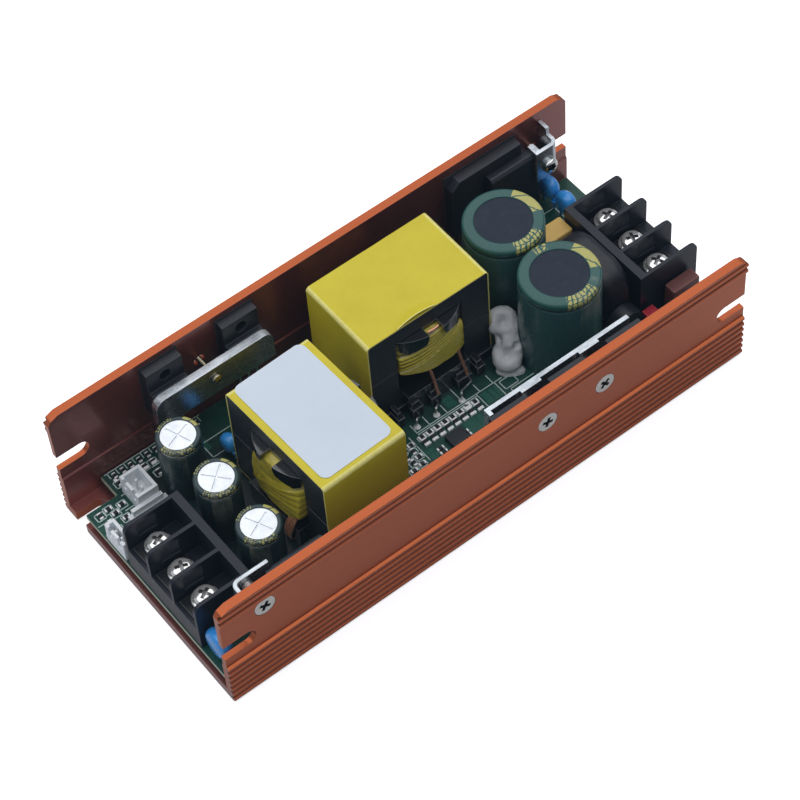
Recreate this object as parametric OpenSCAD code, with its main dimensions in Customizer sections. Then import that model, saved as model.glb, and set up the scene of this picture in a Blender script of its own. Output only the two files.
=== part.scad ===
// Open-channel AC/DC power supply: ribbed U extrusion, board, magnetics,
// capacitors, barrier terminals and wall-clamped power packages.
// Millimetres. +X runs to the input end, +Z is up, the origin is at the bottom centre.

/* [Channel] */
// Length of the extrusion
body_l = 157; // [150:1:200]
// Width over the ribs
body_w = 71; // [68:0.5:90]
// Height of the walls
body_h = 38; // [36:0.5:50]
// Thickness of the floor
floor_t = 3; // [2.4:0.1:5]
// Thickness of a wall behind its ribs
wall_t = 1.6; // [1.5:0.1:3]
// Extra thickness of the lower part of a wall, inside
foot_step = 0.4; // [0.2:0.1:1]
// Height of the inner ledge where the wall gets thinner
ledge_z = 14.6; // [12:0.2:16]
// Depth of the outer ribs
rib_h = 0.7; // [0.4:0.1:1]
// Pitch of the outer ribs
rib_pitch = 2.2; // [2:0.1:2.3]
// Width of a rib at its tip
rib_tip = 0.8; // [0.5:0.1:1]
// Ribs in the lower band
lower_ribs = 7; // [4:1:7]
// Ribs under the top lip
upper_ribs = 2; // [1:1:3]
// Length of the bevel on a wall's top corner
bevel_l = 3.1; // [1:0.1:5]
// Height of that bevel
bevel_h = 2.3; // [1:0.1:4]

/* [Mounting slots] */
// Width of the wall slots
wall_slot_w = 5; // [4.4:0.1:6]
// Depth of the wall slots from the end
wall_slot_l = 9; // [6:0.5:10]
// Height of the wall slots' centre line
wall_slot_z = 20.7; // [19:0.1:24]
// Width of the floor slots
floor_slot_w = 4.4; // [4.2:0.1:5]
// Depth of the floor slots from the end
floor_slot_l = 8; // [6:0.5:9]
// Floor slot's centre line from the wall's inner foot
floor_slot_in = 4.7; // [4:0.1:5.5]

/* [Board] */
// Thickness of the board
board_t = 1.6; // [1:0.1:2.4]
// Distance from the channel's ends to the board
board_inset = 0.5; // [0.2:0.1:1.5]
// Gap between the board and the walls
board_gap = 0.3; // [0.2:0.05:0.8]
// Clearance of the board's corner cut-out past the floor slot's end
board_cut_end = 1.5; // [1:0.1:4]
// Clearance of the board's corner cut-out beside the floor slot
board_cut_gap = 0.4; // [0.2:0.1:1]
// Height of the standoffs under the board
standoff_h = 2.6; // [2:0.1:6]
// Diameter of a standoff
standoff_d = 5.6; // [5:0.1:7]
// Standoffs from the centre, along the length
standoff_x = 52; // [40:1:60]
// Standoffs from the centre, across
standoff_y = 22; // [16:0.5:24]
// Thickness of the insulating sheet
sheet_t = 0.4; // [0.2:0.05:1]

/* [Screws] */
// Shank diameter of the small screws
screw_d = 3; // [2.5:0.1:3.4]
// Head diameter of the countersunk screws
csk_d = 5.8; // [5.2:0.1:6.4]
// Head diameter of the pan screws
pan_d = 5.4; // [4.6:0.1:6]
// Head height of the pan screws
pan_h = 2; // [1.4:0.1:2.6]

/* [Wound parts] */
// Length of a ferrite core
core_l = 36; // [32:0.2:37]
// Depth of a ferrite core
core_w = 24.2; // [20:0.2:25]
// Height of a ferrite core
core_h = 30.2; // [24:0.2:36]
// Thickness of a core's back
core_back = 4.8; // [3.5:0.1:6]
// Radius of the centre post
post_r = 6.8; // [5:0.1:8]
// Radius of the winding window
window_r = 14.9; // [13:0.1:15.4]
// Width of the window at the core's face
window_w = 20; // [16:0.2:22]
// Gap where the two core halves meet
core_air_gap = 0.3; // [0.1:0.1:1]
// Lift of the wrapped core above the board
core_lift = 1; // [0.5:0.1:3]
// Thickness of the tape wrap
tape_t = 0.3; // [0.2:0.05:0.6]
// Thickness of a bobbin's flanges and tube
bobbin_t = 1.2; // [0.8:0.1:1.6]
// Depth of a bobbin's pin rail
rail_w = 2.6; // [2.5:0.1:4]
// Output transformer from the output capacitors
transformer_gap = 6.6; // [4.6:0.1:8]
// Output transformer's centre, across
transformer_y = -5.4; // [-6:0.1:0]
// Turn of the output transformer on the board
transformer_turn = 2; // [-2:0.5:2]
// Boost inductor's centre, across
inductor_y = 13.2; // [10:0.1:14]
// Gap between the boost inductor and the bulk capacitors
inductor_gap = 3.4; // [3:0.1:6]
// Height of the bobbin's tabs that hang in the window
tab_h = 5; // [3:0.1:6]
// Notch between those tabs, where the winding leads come out
tab_notch = 4.4; // [3:0.1:6]
// Thickness of those tabs
tab_t = 0.8; // [0.5:0.1:1.2]
// Length of the blank label
label_l = 34.6; // [20:0.2:35]
// Width of the blank label
label_w = 20.6; // [12:0.2:23]
// Thickness of the label
label_t = 0.15; // [0.1:0.05:0.3]
// Offset of the label along the core
label_offset = 0.8; // [0:0.1:0.8]

/* [Capacitors] */
// Diameter of a bulk capacitor's can
bulk_d = 20; // [16:0.2:22]
// Height of a bulk capacitor
bulk_h = 30; // [20:0.5:35]
// Radius of the open top of a bulk sleeve
bulk_disc_r = 7.3; // [5:0.1:7.8]
// Gap between the two bulk capacitors
bulk_gap = 0.8; // [0.4:0.1:2]
// Middle of the bulk pair, across
bulk_y = 1.6; // [0:0.1:3]
// Gap between the bulk capacitors and the choke
bulk_choke_gap = 0.6; // [0.4:0.1:2]
// Diameter of an output capacitor's can
output_cap_d = 10.6; // [8:0.1:11.4]
// Height of an output capacitor
output_cap_h = 20; // [12:0.5:25]
// Output capacitors' centres from the far wall's foot
output_cap_y = [15.1, 30.7, 47.6];
// Gap between the output terminal and the output capacitors
output_cap_gap = 2.7; // [1:0.1:4]
// Rounding of a bulk can's top edge
bulk_edge = 1.4; // [0.6:0.1:1.8]
// Rounding of an output can's top edge
output_edge = 0.8; // [0.4:0.1:1]
// Width of the scored vent in an output can's top
vent_w = 0.4; // [0.2:0.1:0.6]
// Turn of each output can's vent cross
vent_turn = [20, 40, 25];
// Thickness of a sleeve
sleeve_t = 0.3; // [0.2:0.05:0.5]
// Width of an output sleeve's rim on the can's top
output_rim = 1.1; // [0.5:0.1:1.6]

/* [Terminals] */
// Pitch of the terminals
term_pitch = 9.5; // [9:0.1:10]
// Ways of each terminal block
term_ways = 3; // [2:1:3]
// Depth of a terminal block
term_depth = 16; // [14:0.2:17]
// Height of a terminal block
term_h = 16.8; // [13:0.2:20]
// Height of the terminal base
term_base = 7.5; // [6:0.1:9]
// Thickness of the barriers
barrier_t = 1; // [0.8:0.1:1.6]
// Thickness of the back bar
term_back = 2.2; // [1.6:0.1:3]
// Rounding of a barrier's front corner
term_round = 2.2; // [0.5:0.1:3]
// Output terminal's centre from the near wall's foot
output_term_y = 24.9; // [23.8:0.1:26.8]
// Input terminal's centre, across
input_term_y = -0.9; // [-2:0.1:1]
// Terminals from the board's edge
term_inset = 0.2; // [0.1:0.1:1]
// Diameter of a terminal screw's head
term_screw_d = 6.4; // [5:0.1:7]
// Thickness of a contact plate
plate_t = 0.8; // [0.6:0.1:1.2]
// Thickness of a terminal screw's square washer
washer_t = 1; // [0.6:0.1:1.4]
// Height of a terminal screw's head
term_head_h = 2.4; // [1.8:0.1:2.8]
// Length of a terminal screw below its washer
term_screw_l = 4.5; // [3:0.1:4.8]
// Width of the cross recess in a terminal screw
recess_w = 0.9; // [0.6:0.1:1.2]
// Length of that cross recess
recess_l = 3.8; // [3:0.1:4.4]
// Depth of that cross recess
recess_h = 1.4; // [0.8:0.1:1.6]
// Length of the hollow in the barrier beside a screw
hollow_l = 6; // [4:0.1:7]
// Depth of that hollow
hollow_t = 0.5; // [0.3:0.05:0.6]

/* [Input filter] */
// Thickness of the choke
choke_t = 9.2; // [8:0.1:10]
// Width of the choke
choke_w = 23; // [18:0.5:24]
// Height of the choke
choke_h = 18.8; // [12:0.2:22]
// Radius of the choke's outline, seen along the length
choke_r = 8; // [5:0.1:8.4]
// Rounding of the choke's edges
choke_edge = 2.8; // [1:0.1:3.8]
// Choke's centre, across
choke_y = -2.3; // [-3:0.1:-1]
// Length of the film capacitor
film_l = 9.8; // [7:0.1:10.2]
// Depth of the film capacitor
film_w = 5.6; // [4:0.1:6]
// Height of the film capacitor
film_h = 13.2; // [9:0.2:16]
// Length of the fuse
fuse_l = 8.5; // [6:0.1:9]
// Depth of the fuse
fuse_w = 3.7; // [3:0.1:5]
// Height of the fuse
fuse_h = 9.3; // [6:0.1:11]
// Diameter of the thermistor
thermistor_d = 9.2; // [7:0.1:9.6]
// Thickness of the thermistor
thermistor_t = 4; // [3:0.1:4.6]
// Size of the small red capacitor
pulse_size = 3.6; // [3:0.1:4]
// Height of the small red capacitor
pulse_h = 5.4; // [4:0.1:7]
// Diameter of a small disc capacitor
disc_d = 6.5; // [5:0.1:6.6]
// Diameter of the large disc capacitor at the output end
output_disc_d = 8.2; // [6:0.1:8.4]
// Gap between the two input disc capacitors
disc_gap = 0.3; // [0.2:0.1:0.4]
// Gap between the input disc capacitors and the far wall
disc_wall_gap = 1.05; // [0.5:0.05:1.4]
// Gap between the output disc capacitor and its terminal
output_disc_gap = 0.5; // [0.15:0.05:1.45]
// Input disc capacitors' middle from the input terminal's back
disc_in = 7.2; // [5:0.1:8]
// Height of those capacitors above the board
input_disc_lift = 3.4; // [1:0.1:4.4]
// Output disc capacitor's middle from the board's end
output_disc_in = 2.6; // [2.2:0.1:6]
// Thickness of a disc capacitor
disc_t = 3.6; // [2.5:0.1:4]

/* [Wall packages] */
// Width of a small package
pack_w = 10.4; // [9.6:0.1:11]
// Thickness of a small package
pack_t = 4.6; // [4:0.1:5]
// Thickness of a small package's upper part
pack_thin = 2.7; // [2:0.1:3]
// Height of a small package
pack_h = 15.6; // [14:0.2:16]
// Height of a small package's thick part
pack_low = 9; // [7:0.1:9.6]
// Top of the far packages below the wall's top
far_pack_drop = 2; // [1.6:0.1:4]
// Pitch of the far packages
far_pack_pitch = 22.2; // [20:0.1:24]
// Middle of the far packages from the output end
far_pack_in = 42.1; // [40:0.1:46]
// Pitch of the near packages
near_pack_pitch = 17.6; // [16.8:0.1:18.4]
// Middle of the near packages from the input end
near_pack_in = 53.3; // [50:0.1:58]
// Top of the near packages below the wall's top
near_pack_drop = 3; // [2.4:0.1:5]
// Thickness of the thermal pads
pad_t = 0.3; // [0.2:0.05:0.6]
// Width of the large package
large_w = 15.8; // [14:0.1:16.4]
// Thickness of the large package
large_t = 5; // [4:0.1:5.4]
// Top of the large package below the wall's top
large_drop = 6.4; // [5:0.1:8]
// Middle of the large package from the output terminal's back
large_in = 8.2; // [8:0.1:9]
// Width of the bridge rectifier
bridge_w = 22; // [20:0.1:23]
// Thickness of the bridge rectifier
bridge_t = 3; // [2.6:0.1:3.4]
// Height of the bridge rectifier
bridge_h = 20; // [18:0.2:21]
// Gap between the wall's ledge and the bridge rectifier
bridge_rise = 0.4; // [0.2:0.1:1]
// Bridge rectifier's middle from the bulk capacitors' middle
bridge_in = 9; // [7:0.1:9.4]
// Reach of the package in front past the bridge's end
boost_reach = 3.6; // [2.6:0.1:4]
// Top of the package in front below the bridge's top
boost_drop = 3.6; // [2:0.1:4]
// Thickness of the package in front of the bridge
boost_t = 2.7; // [2:0.1:3]
// Width of the package in front of the bridge
boost_w = 15.2; // [13:0.1:15.6]
// Height of the package in front of the bridge
boost_h = 19; // [16:0.2:20]

/* [Clamps] */
// Thickness of the far clamp bar
far_bar_t = 2.2; // [1.6:0.1:2.6]
// Height of the far clamp bar
far_bar_h = 9.6; // [8:0.1:11]
// Corner radius of the far clamp bar
far_bar_r = 3; // [1:0.1:4]
// Thickness of the near clamp bar
near_bar_t = 1.2; // [1.2:0.1:2.4]
// Height of the near clamp bar
near_bar_h = 12; // [9:0.2:13]
// Height of the pads on the near clamp bar round its screws
near_boss_t = 0.8; // [0.4:0.1:1.2]
// Width of those pads
near_boss_w = 6; // [5:0.1:6.2]
// Thickness of the bent steel clips
clip_t = 1.1; // [0.8:0.1:1.4]
// Height of the output clip
clip_h = 8.5; // [6:0.1:9]
// Height of the input clip
input_clip_h = 9.5; // [7:0.1:10]
// Inner radius of a clip's bend
clip_bend = 1; // [0.4:0.1:1.4]
// Reach of the output clip past its package
clip_reach = 8.4; // [7.6:0.1:9]
// Overlap of the output clip on its package
clip_overlap = 2; // [1.4:0.1:4]
// Rise of the output clip above its package
clip_rise = 1; // [0.4:0.1:2]
// Output clip's screw from the clip's bent end
clip_screw_in = 3.9; // [3.6:0.1:4.6]
// Output clip's screw below the clip's top
clip_screw_drop = 3.6; // [3:0.1:4.4]
// Length of the input clip
input_clip_l = 7.2; // [7:0.1:7.6]
// Overlap of the input clip on its package
input_clip_overlap = 1.8; // [1.2:0.1:3]
// Rise of the input clip where it meets the wall
input_clip_rise = 2.2; // [1.4:0.1:4]
// Depth of the turned lip at the near bar's end
near_lip = 1.2; // [0.6:0.1:1.4]

/* [Connectors] */
// Length of a connector
conn_l = 8; // [6:0.1:8.4]
// Width of a connector
conn_w = 5.8; // [5:0.1:6]
// Height of a connector
conn_h = 6.5; // [5:0.1:8]
// Wall of a connector
conn_wall = 0.8; // [0.6:0.1:1]
// Pitch of a connector's pins
conn_pin_pitch = 2.5; // [2:0.1:3]
// Gap between the upper connector and the far wall's foot
conn_wall_gap = 7.35; // [7.2:0.05:8]
// Upper connector's middle from the output terminal's back
conn_in = 2.6; // [2:0.1:5]
// Width of the lower connector
conn_b_w = 2.8; // [2.5:0.1:3.4]
// Length of the key bar beside the upper connector
key_l = 11; // [8:0.1:11.4]
// Width of that key bar
key_w = 1.8; // [1:0.1:2]
// Height of that key bar
key_h = 3.8; // [2:0.1:4.4]
// Gap between the lower connector and the output terminal
conn_b_gap = 1.6; // [0.6:0.1:2]

/* [Silicone] */
// Radius of the dab's upper lobe
dab_r = 4.2; // [3:0.1:4.4]
// Height of the upper lobe's middle above the board
dab_rise = 10.3; // [8:0.1:14]
// Reach of the lower lobe from the bulk capacitors
dab_reach = 3.2; // [2:0.1:4]
// Thickness of the film under the dab
dab_film = 0.8; // [0.4:0.1:1.2]

/* [Control chip] */
// Length of the control chip
chip_l = 4.9; // [4:0.1:6]
// Width of the control chip
chip_w = 3.9; // [3:0.1:5]
// Height of the control chip
chip_h = 1.5; // [1:0.1:2]
// Pitch of the control chip's pins
chip_pitch = 1.27; // [0.65:0.01:1.27]
// Control chip's middle before the boost inductor's middle
chip_in = 5; // [4:0.1:8]
// Control chip's middle from the boost inductor's near face
chip_out = 15.6; // [14:0.1:17]

/* [Hidden] */
$fn = 48;
// Play between pieces that fit together
fit = 0.05;
eps = 0.01;
// Thickness of a package's leads and the spread of three leads
lead_t = 0.7;
lead_pitch = 2.5;
large_lead_pitch = 5.4;
// Height of a disc capacitor above the board
disc_lift = 1.6;

half_l = body_l / 2;
half_w = body_w / 2;
// Inner faces of the walls: upper part and thicker foot
wall_in = half_w - rib_h - wall_t;
foot_in = wall_in - foot_step;
panel_y = half_w - rib_h;
rib_base = rib_tip + rib_h;
first_rib = rib_base / 2 + 0.1;
top_lip = rib_pitch - rib_base / 2;

board_z = floor_t + standoff_h;
board_top = board_z + board_t;
board_end = half_l - board_inset;
board_side = foot_in - board_gap;
floor_slot_y = foot_in - floor_slot_in;
board_cut_l = floor_slot_l + board_cut_end;
board_cut_y = floor_slot_y - floor_slot_w / 2 - board_cut_gap;
standoff_places = [for (sx = [-1, 1]) for (sy = [-1, 1]) [sx * standoff_x, sy * standoff_y]];

// Terminal blocks stand at the board's ends
term_w = term_ways * term_pitch + barrier_t;
output_term_back = -board_end + term_inset + term_depth;
input_term_back = board_end - term_inset - term_depth;
term_screw_u = term_depth * 0.62;
output_term_at = -foot_in + output_term_y;
cell_in = (term_pitch - barrier_t) / 2;

// Output side, from the terminal inwards
output_cap_r = output_cap_d / 2 + sleeve_t;
output_cap_x = output_term_back + output_cap_gap + output_cap_r;
output_cap_at = [for (d = output_cap_y) foot_in - d];
wound_w = core_w;
wound_l = core_l + 2 * tape_t;
transformer_x = output_cap_x + output_cap_r + transformer_gap + wound_w / 2;

// Input side, from the terminal inwards
choke_x = input_term_back - 0.3 - choke_t / 2;
bulk_r = bulk_d / 2 + sleeve_t;
bulk_x = choke_x - choke_t / 2 - bulk_choke_gap - bulk_r;
bulk_step = bulk_r + bulk_gap / 2;
inductor_x = bulk_x - bulk_r - inductor_gap - wound_l / 2;
choke_out = min(choke_r, choke_h / 2, choke_w / 2);
film_y = choke_y + choke_w / 2 + 0.5 + film_w / 2;
film_x = input_term_back - 0.3 - film_l / 2;
fuse_y = input_term_y - term_w / 2 - 0.4 - fuse_w / 2;
fuse_x = board_end - 0.3 - fuse_l / 2;
thermistor_y = choke_y - choke_w / 2 - 0.4 - thermistor_t / 2;
thermistor_x = choke_x - 0.6;
pulse_x = thermistor_x + thermistor_d / 2 + 0.5 + pulse_size / 2;
pulse_y = fuse_y - 0.4;
disc_x = input_term_back + disc_in;
disc_y = foot_in - disc_wall_gap - disc_d / 2;
output_disc_y = output_term_at - term_w / 2 - output_disc_gap - output_disc_d / 2;

// Wound parts: heights of the core and the window
core_z = board_top + core_lift + tape_t;
core_top = core_z + core_h;
window_low = core_z + core_back;
window_high = core_top - core_back;
flange_r = window_r - 0.3;
tube_r = post_r + 0.15 + bobbin_t;
winding_r = flange_r - 0.2;
tab_r = winding_r + fit + tab_t;

// Wall packages and what presses on them
far_pack_x = -half_l + far_pack_in;
near_pack_x = half_l - near_pack_in;
far_pack_top = body_h - far_pack_drop;
near_pack_top = body_h - near_pack_drop;
pad_face = wall_in - pad_t;
far_bar_y = pad_face - pack_t;
far_bar_top = far_pack_top - pack_h + pack_low - 0.4 + far_bar_h * 0.1;
far_bar_l = far_pack_pitch + pack_w + 2;
far_screw_z = far_bar_top - far_bar_h * 0.42;
near_bar_y = -(pad_face - pack_t);
near_bar_top = near_pack_top - 1;
near_screw_z = near_bar_top - near_bar_h * 0.7;
near_bar_l = 2 * near_pack_pitch + pack_w - 2;
near_screw_x = [for (s = [-1, 1]) near_pack_x + s * near_pack_pitch / 2];

// Output clip and the package it presses on
large_x = output_term_back + large_in;
large_top = body_h - large_drop;
large_low = ledge_z + 0.3;
large_h = large_top - large_low;
large_face = -(pad_face - large_t);
clip_z = large_top + clip_rise - clip_h;
clip_x0 = large_x - large_w / 2 - clip_reach;
clip_x1 = large_x - large_w / 2 + clip_overlap;
clip_screw_x = clip_x0 + clip_screw_in;
clip_screw_z = clip_z + clip_h - clip_screw_drop;

// Bridge rectifier, the package in front of it and their clip
bridge_x = bulk_x + bridge_in;
bridge_low = ledge_z + bridge_rise;
bridge_top = bridge_low + bridge_h;
bridge_face = pad_face - bridge_t;
boost_x = bridge_x + bridge_w / 2 + boost_reach - boost_w / 2;
boost_top = bridge_top - boost_drop;
boost_face = bridge_face - boost_t;
input_clip_x0 = boost_x + boost_w / 2 - input_clip_overlap;
input_clip_x1 = input_clip_x0 + input_clip_l;
input_clip_z = boost_top - input_clip_h;
input_screw_x = (boost_x + boost_w / 2 + input_clip_x1 - clip_t) / 2;
input_screw_z = input_clip_z + input_clip_h * 0.45;

// White connectors beside the output terminal
conn_a = [output_term_back - conn_in, foot_in - conn_wall_gap - conn_l / 2];
conn_b = [-board_end + term_inset + conn_b_w / 2, output_term_at + term_w / 2 + conn_b_gap + conn_l / 2];

// One rib of the wall's outer face, as points going up
function rib(z) = [
  [panel_y, z - rib_base / 2], [half_w, z - rib_tip / 2],
  [half_w, z + rib_tip / 2], [panel_y, z + rib_base / 2]
];

// Outer and inner outline of the +Y wall, from the bottom up and back down to the floor
lower_band = [for (i = [0 : lower_ribs - 1]) each rib(first_rib + i * rib_pitch)];
upper_band = [for (i = [upper_ribs : -1 : 1]) each rib(body_h - top_lip / 2 + rib_tip / 4 - i * rib_pitch)];
wall_outline = concat(
  [[panel_y, 0]], lower_band, upper_band,
  [[panel_y, body_h - top_lip], [half_w, body_h - top_lip + rib_h / 2], [half_w, body_h]],
  [[wall_in, body_h], [wall_in, ledge_z], [foot_in, ledge_z - foot_step], [foot_in, floor_t]]
);
n_wall = len(wall_outline);
channel_outline = concat(wall_outline, [for (i = [n_wall - 1 : -1 : 0]) [-wall_outline[i][0], wall_outline[i][1]]]);

// Extrudes a Y-Z outline along X, centred
module along_x(length) {
  translate([-length / 2, 0, 0])
    rotate([90, 0, 90])
      linear_extrude(height = length) children();
}

// A bar or plate given by two corners
module block(a, b) {
  translate(a) cube(b - a);
}

// Slot open at the +X end of the channel, cut along Z
module end_slot(w, depth, height) {
  translate([half_l - depth + w / 2, 0, -height / 2]) cylinder(d = w, h = height);
  translate([half_l - depth + w / 2, -w / 2, -height / 2]) cube([depth, w, height]);
}

// Countersunk screw along +Z with its head's outer face at z = 0
module csk_screw(length, d = screw_d, head = csk_d) {
  cylinder(d1 = head, d2 = d, h = (head - d) / 2);
  cylinder(d = d, h = length);
}

// Pan screw along +Z with its head below z = 0
module pan_screw(length, d = screw_d) {
  intersection() {
    translate([0, 0, -pan_h]) cylinder(d = pan_d, h = pan_h);
    translate([0, 0, pan_d * 0.62 - pan_h]) sphere(r = pan_d * 0.62);
  }
  translate([0, 0, -eps]) cylinder(d = d, h = length + eps);
}

module channel_housing() {
  color([0.72, 0.38, 0.22])
  difference() {
    along_x(body_l) polygon(channel_outline);
    for (s = [-1, 1]) {
      scale([s, 1, 1]) {
        rotate([90, 0, 0]) linear_extrude(height = body_w + 2, center = true)
          polygon([
            [half_l - bevel_l, body_h], [half_l - bevel_l * 0.3, body_h - bevel_h * 0.4],
            [half_l, body_h - bevel_h], [half_l + 1, body_h - bevel_h],
            [half_l + 1, body_h + 1], [half_l - bevel_l, body_h + 1]
          ]);
        translate([0, 0, wall_slot_z]) rotate([90, 0, 0]) end_slot(wall_slot_w, wall_slot_l, body_w + 2);
      }
    }
    translate([0, -floor_slot_y, floor_t / 2]) end_slot(floor_slot_w, floor_slot_l, floor_t + 2);
    translate([0, floor_slot_y, floor_t / 2]) rotate([0, 0, 180]) end_slot(floor_slot_w, floor_slot_l, floor_t + 2);
    for (x = near_screw_x) {
      translate([x, -panel_y - fit, near_screw_z]) rotate([-90, 0, 0]) csk_hole();
    }
    translate([clip_screw_x, -panel_y - fit, clip_screw_z]) rotate([-90, 0, 0]) csk_hole();
    for (p = [[far_pack_x, far_screw_z], [input_screw_x, input_screw_z]]) {
      translate([p[0], wall_in - 1, p[1]]) rotate([-90, 0, 0]) cylinder(d = screw_d + 2 * fit, h = wall_t + rib_h + 2);
    }
    for (p = standoff_places) translate([p[0], p[1], -fit]) csk_hole();
  }
}

// Countersunk hole for csk_screw, with play all round
module csk_hole() {
  cylinder(d1 = csk_d + 2 * fit, d2 = screw_d + 2 * fit, h = (csk_d - screw_d) / 2);
  cylinder(d = screw_d + 2 * fit, h = 8);
}

module insulating_sheet() {
  color([0.9, 0.9, 0.85])
  difference() {
    block(
      [-half_l + board_cut_l + 2, -foot_in + 1, floor_t],
      [half_l - board_cut_l - 2, foot_in - 1, floor_t + sheet_t]
    );
    for (p = standoff_places) translate([p[0], p[1], floor_t - 1]) cylinder(d = standoff_d + 1, h = sheet_t + 2);
  }
}

module board_standoffs() {
  color([0.75, 0.7, 0.5])
  for (p = standoff_places) {
    translate([p[0], p[1], floor_t]) difference() {
      cylinder(d = standoff_d, h = standoff_h);
      translate([0, 0, -1]) cylinder(d = screw_d + 2 * fit, h = standoff_h + 2);
    }
  }
}

module floor_screws() {
  color("silver")
  for (p = standoff_places) translate([p[0], p[1], 0]) csk_screw(floor_t + standoff_h - 0.3);
}

module circuit_board() {
  color([0.1, 0.32, 0.26])
  difference() {
    block([-board_end, -board_side, board_z], [board_end, board_side, board_top]);
    for (a = [0, 180]) {
      rotate([0, 0, a])
        block([-half_l - 1, board_cut_y, board_z - 1], [-half_l + board_cut_l, half_w, board_top + 1]);
    }
  }
}

// Wound part: every piece is drawn with its long side along X, round the centre post
module core_plan() {
  difference() {
    square([core_l, core_w], center = true);
    circle(r = window_r, $fn = 96);
    square([window_w, core_w + 2], center = true);
  }
}

// One half of the ferrite core, with its back at z = 0
module core_half(height) {
  linear_extrude(height = core_back) square([core_l, core_w], center = true);
  linear_extrude(height = height) core_plan();
  cylinder(r = post_r, h = height);
}

module wound_core() {
  half_h = (core_h - core_air_gap) / 2;
  color([0.16, 0.16, 0.17]) {
    translate([0, 0, core_z]) core_half(half_h);
    translate([0, 0, core_top]) mirror([0, 0, 1]) core_half(half_h);
  }
}

// Flange of the bobbin, cut to the window, with what carries it out through both faces
module bobbin_flange() {
  difference() {
    union() {
      intersection() {
        circle(r = flange_r, $fn = 96);
        square([core_l, core_w], center = true);
      }
      intersection() {
        children();
        square([window_w - 1, core_l], center = true);
      }
    }
    circle(r = post_r + 0.15);
  }
}

// Outline of the slanted tab on one side of the notch, below the upper flange
module bobbin_tab() {
  side = window_w / 2 - 0.5;
  polygon([
    [tab_notch / 2, 0], [side, 0], [side, -tab_h * 0.7], [side - tab_h * 0.4, -tab_h],
    [tab_notch / 2 + 0.6, -tab_h * 0.62], [tab_notch / 2, -tab_h * 0.3]
  ]);
}

// Curved tabs that hang from the upper flange round the winding, with the notch cut between them
module bobbin_tabs(high) {
  intersection() {
    difference() {
      translate([0, 0, high - tab_h]) cylinder(r = tab_r, h = tab_h, $fn = 96);
      translate([0, 0, high - tab_h - 1]) cylinder(r = tab_r - tab_t, h = tab_h + 2, $fn = 96);
    }
    for (s = [-1, 1], sx = [-1, 1]) {
      scale([sx, s, 1]) translate([0, core_w / 2 + core_l / 2, high]) rotate([90, 0, 0])
        linear_extrude(height = core_l / 2) bobbin_tab();
    }
  }
}

module wound_bobbin() {
  low = window_low + fit;
  high = window_high - fit;
  color([0.12, 0.12, 0.13]) {
    difference() {
      union() {
        translate([0, 0, low]) linear_extrude(height = bobbin_t) bobbin_flange()
          square([window_w, core_w + 2 * (fit + rail_w)], center = true);
        translate([0, 0, high - bobbin_t]) linear_extrude(height = bobbin_t) bobbin_flange() difference() {
          circle(r = tab_r, $fn = 96);
          for (s = [-1, 1]) translate([0, s * (core_w / 2 + tab_r) / 2])
            square([tab_notch, tab_r - core_w / 2 + 2 * fit], center = true);
        }
        bobbin_tabs(high);
        translate([0, 0, low]) cylinder(r = tube_r, h = high - low);
        for (s = [-1, 1]) {
          scale([1, s, 1]) {
            block(
              [-window_w / 2 + 0.5, core_w / 2 + fit, board_top],
              [window_w / 2 - 0.5, core_w / 2 + fit + rail_w, low + bobbin_t]
            );
          }
        }
      }
      translate([0, 0, low - 1]) cylinder(r = post_r + 0.15, h = high - low + 2);
    }
  }
}

module wound_winding() {
  low = window_low + 2 * fit + bobbin_t;
  high = window_high - 2 * fit - bobbin_t;
  color([0.62, 0.55, 0.16])
  translate([0, 0, low]) difference() {
    cylinder(r = winding_r, h = high - low, $fn = 96);
    translate([0, 0, -1]) cylinder(r = tube_r + fit, h = high - low + 2);
  }
}

module wound_tape() {
  color([0.82, 0.75, 0.25])
  rotate([90, 0, 0]) linear_extrude(height = core_w, center = true) difference() {
    translate([-wound_l / 2, core_z - tape_t]) square([wound_l, core_h + 2 * tape_t]);
    translate([-core_l / 2, core_z]) square([core_l, core_h]);
  }
}

module place_transformer() {
  translate([transformer_x, transformer_y, 0]) rotate([0, 0, 90 + transformer_turn]) children();
}

module place_inductor() {
  translate([inductor_x, inductor_y, 0]) children();
}

module output_transformer_core() place_transformer() wound_core();
module output_transformer_bobbin() place_transformer() wound_bobbin();
module output_transformer_winding() place_transformer() wound_winding();
module output_transformer_tape() place_transformer() wound_tape();
module boost_inductor_core() place_inductor() wound_core();
module boost_inductor_bobbin() place_inductor() wound_bobbin();
module boost_inductor_winding() place_inductor() wound_winding();
module boost_inductor_tape() place_inductor() wound_tape();

module output_transformer_label() {
  corner = 2;
  color([0.9, 0.92, 0.95])
  place_transformer() translate([label_offset, 0, core_top + tape_t]) linear_extrude(height = label_t) {
    square([label_l, label_w - 2 * corner], center = true);
    square([label_l - 2 * corner, label_w], center = true);
    for (sx = [-1, 1]) for (sy = [-1, 1])
      translate([sx * (label_l / 2 - corner), sy * (label_w / 2 - corner)]) circle(r = corner);
  }
}

// Half outline of a can standing on the board, its top edge rounded
module can_outline(r, height, edge) {
  square([r, height - edge]);
  square([r - edge, height]);
  translate([r - edge, height - edge]) intersection() {
    circle(r = edge, $fn = 32);
    square(edge);
  }
}

module can(r, height, edge) {
  rotate_extrude($fn = 64) can_outline(r, height, edge);
}

// Shrunk sleeve round a can, with a rim turned over the top
module sleeve(r, height, edge, open_r) {
  rotate_extrude($fn = 64) difference() {
    can_outline(r + sleeve_t, height + sleeve_t, edge + sleeve_t);
    can_outline(r + fit, height + fit, edge);
    square([open_r, height + 2 * sleeve_t]);
  }
}

module bulk_can(s) {
  color([0.22, 0.24, 0.29])
  translate([bulk_x, bulk_y + s * bulk_step, board_top]) can(bulk_d / 2, bulk_h - sleeve_t, bulk_edge);
}

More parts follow.
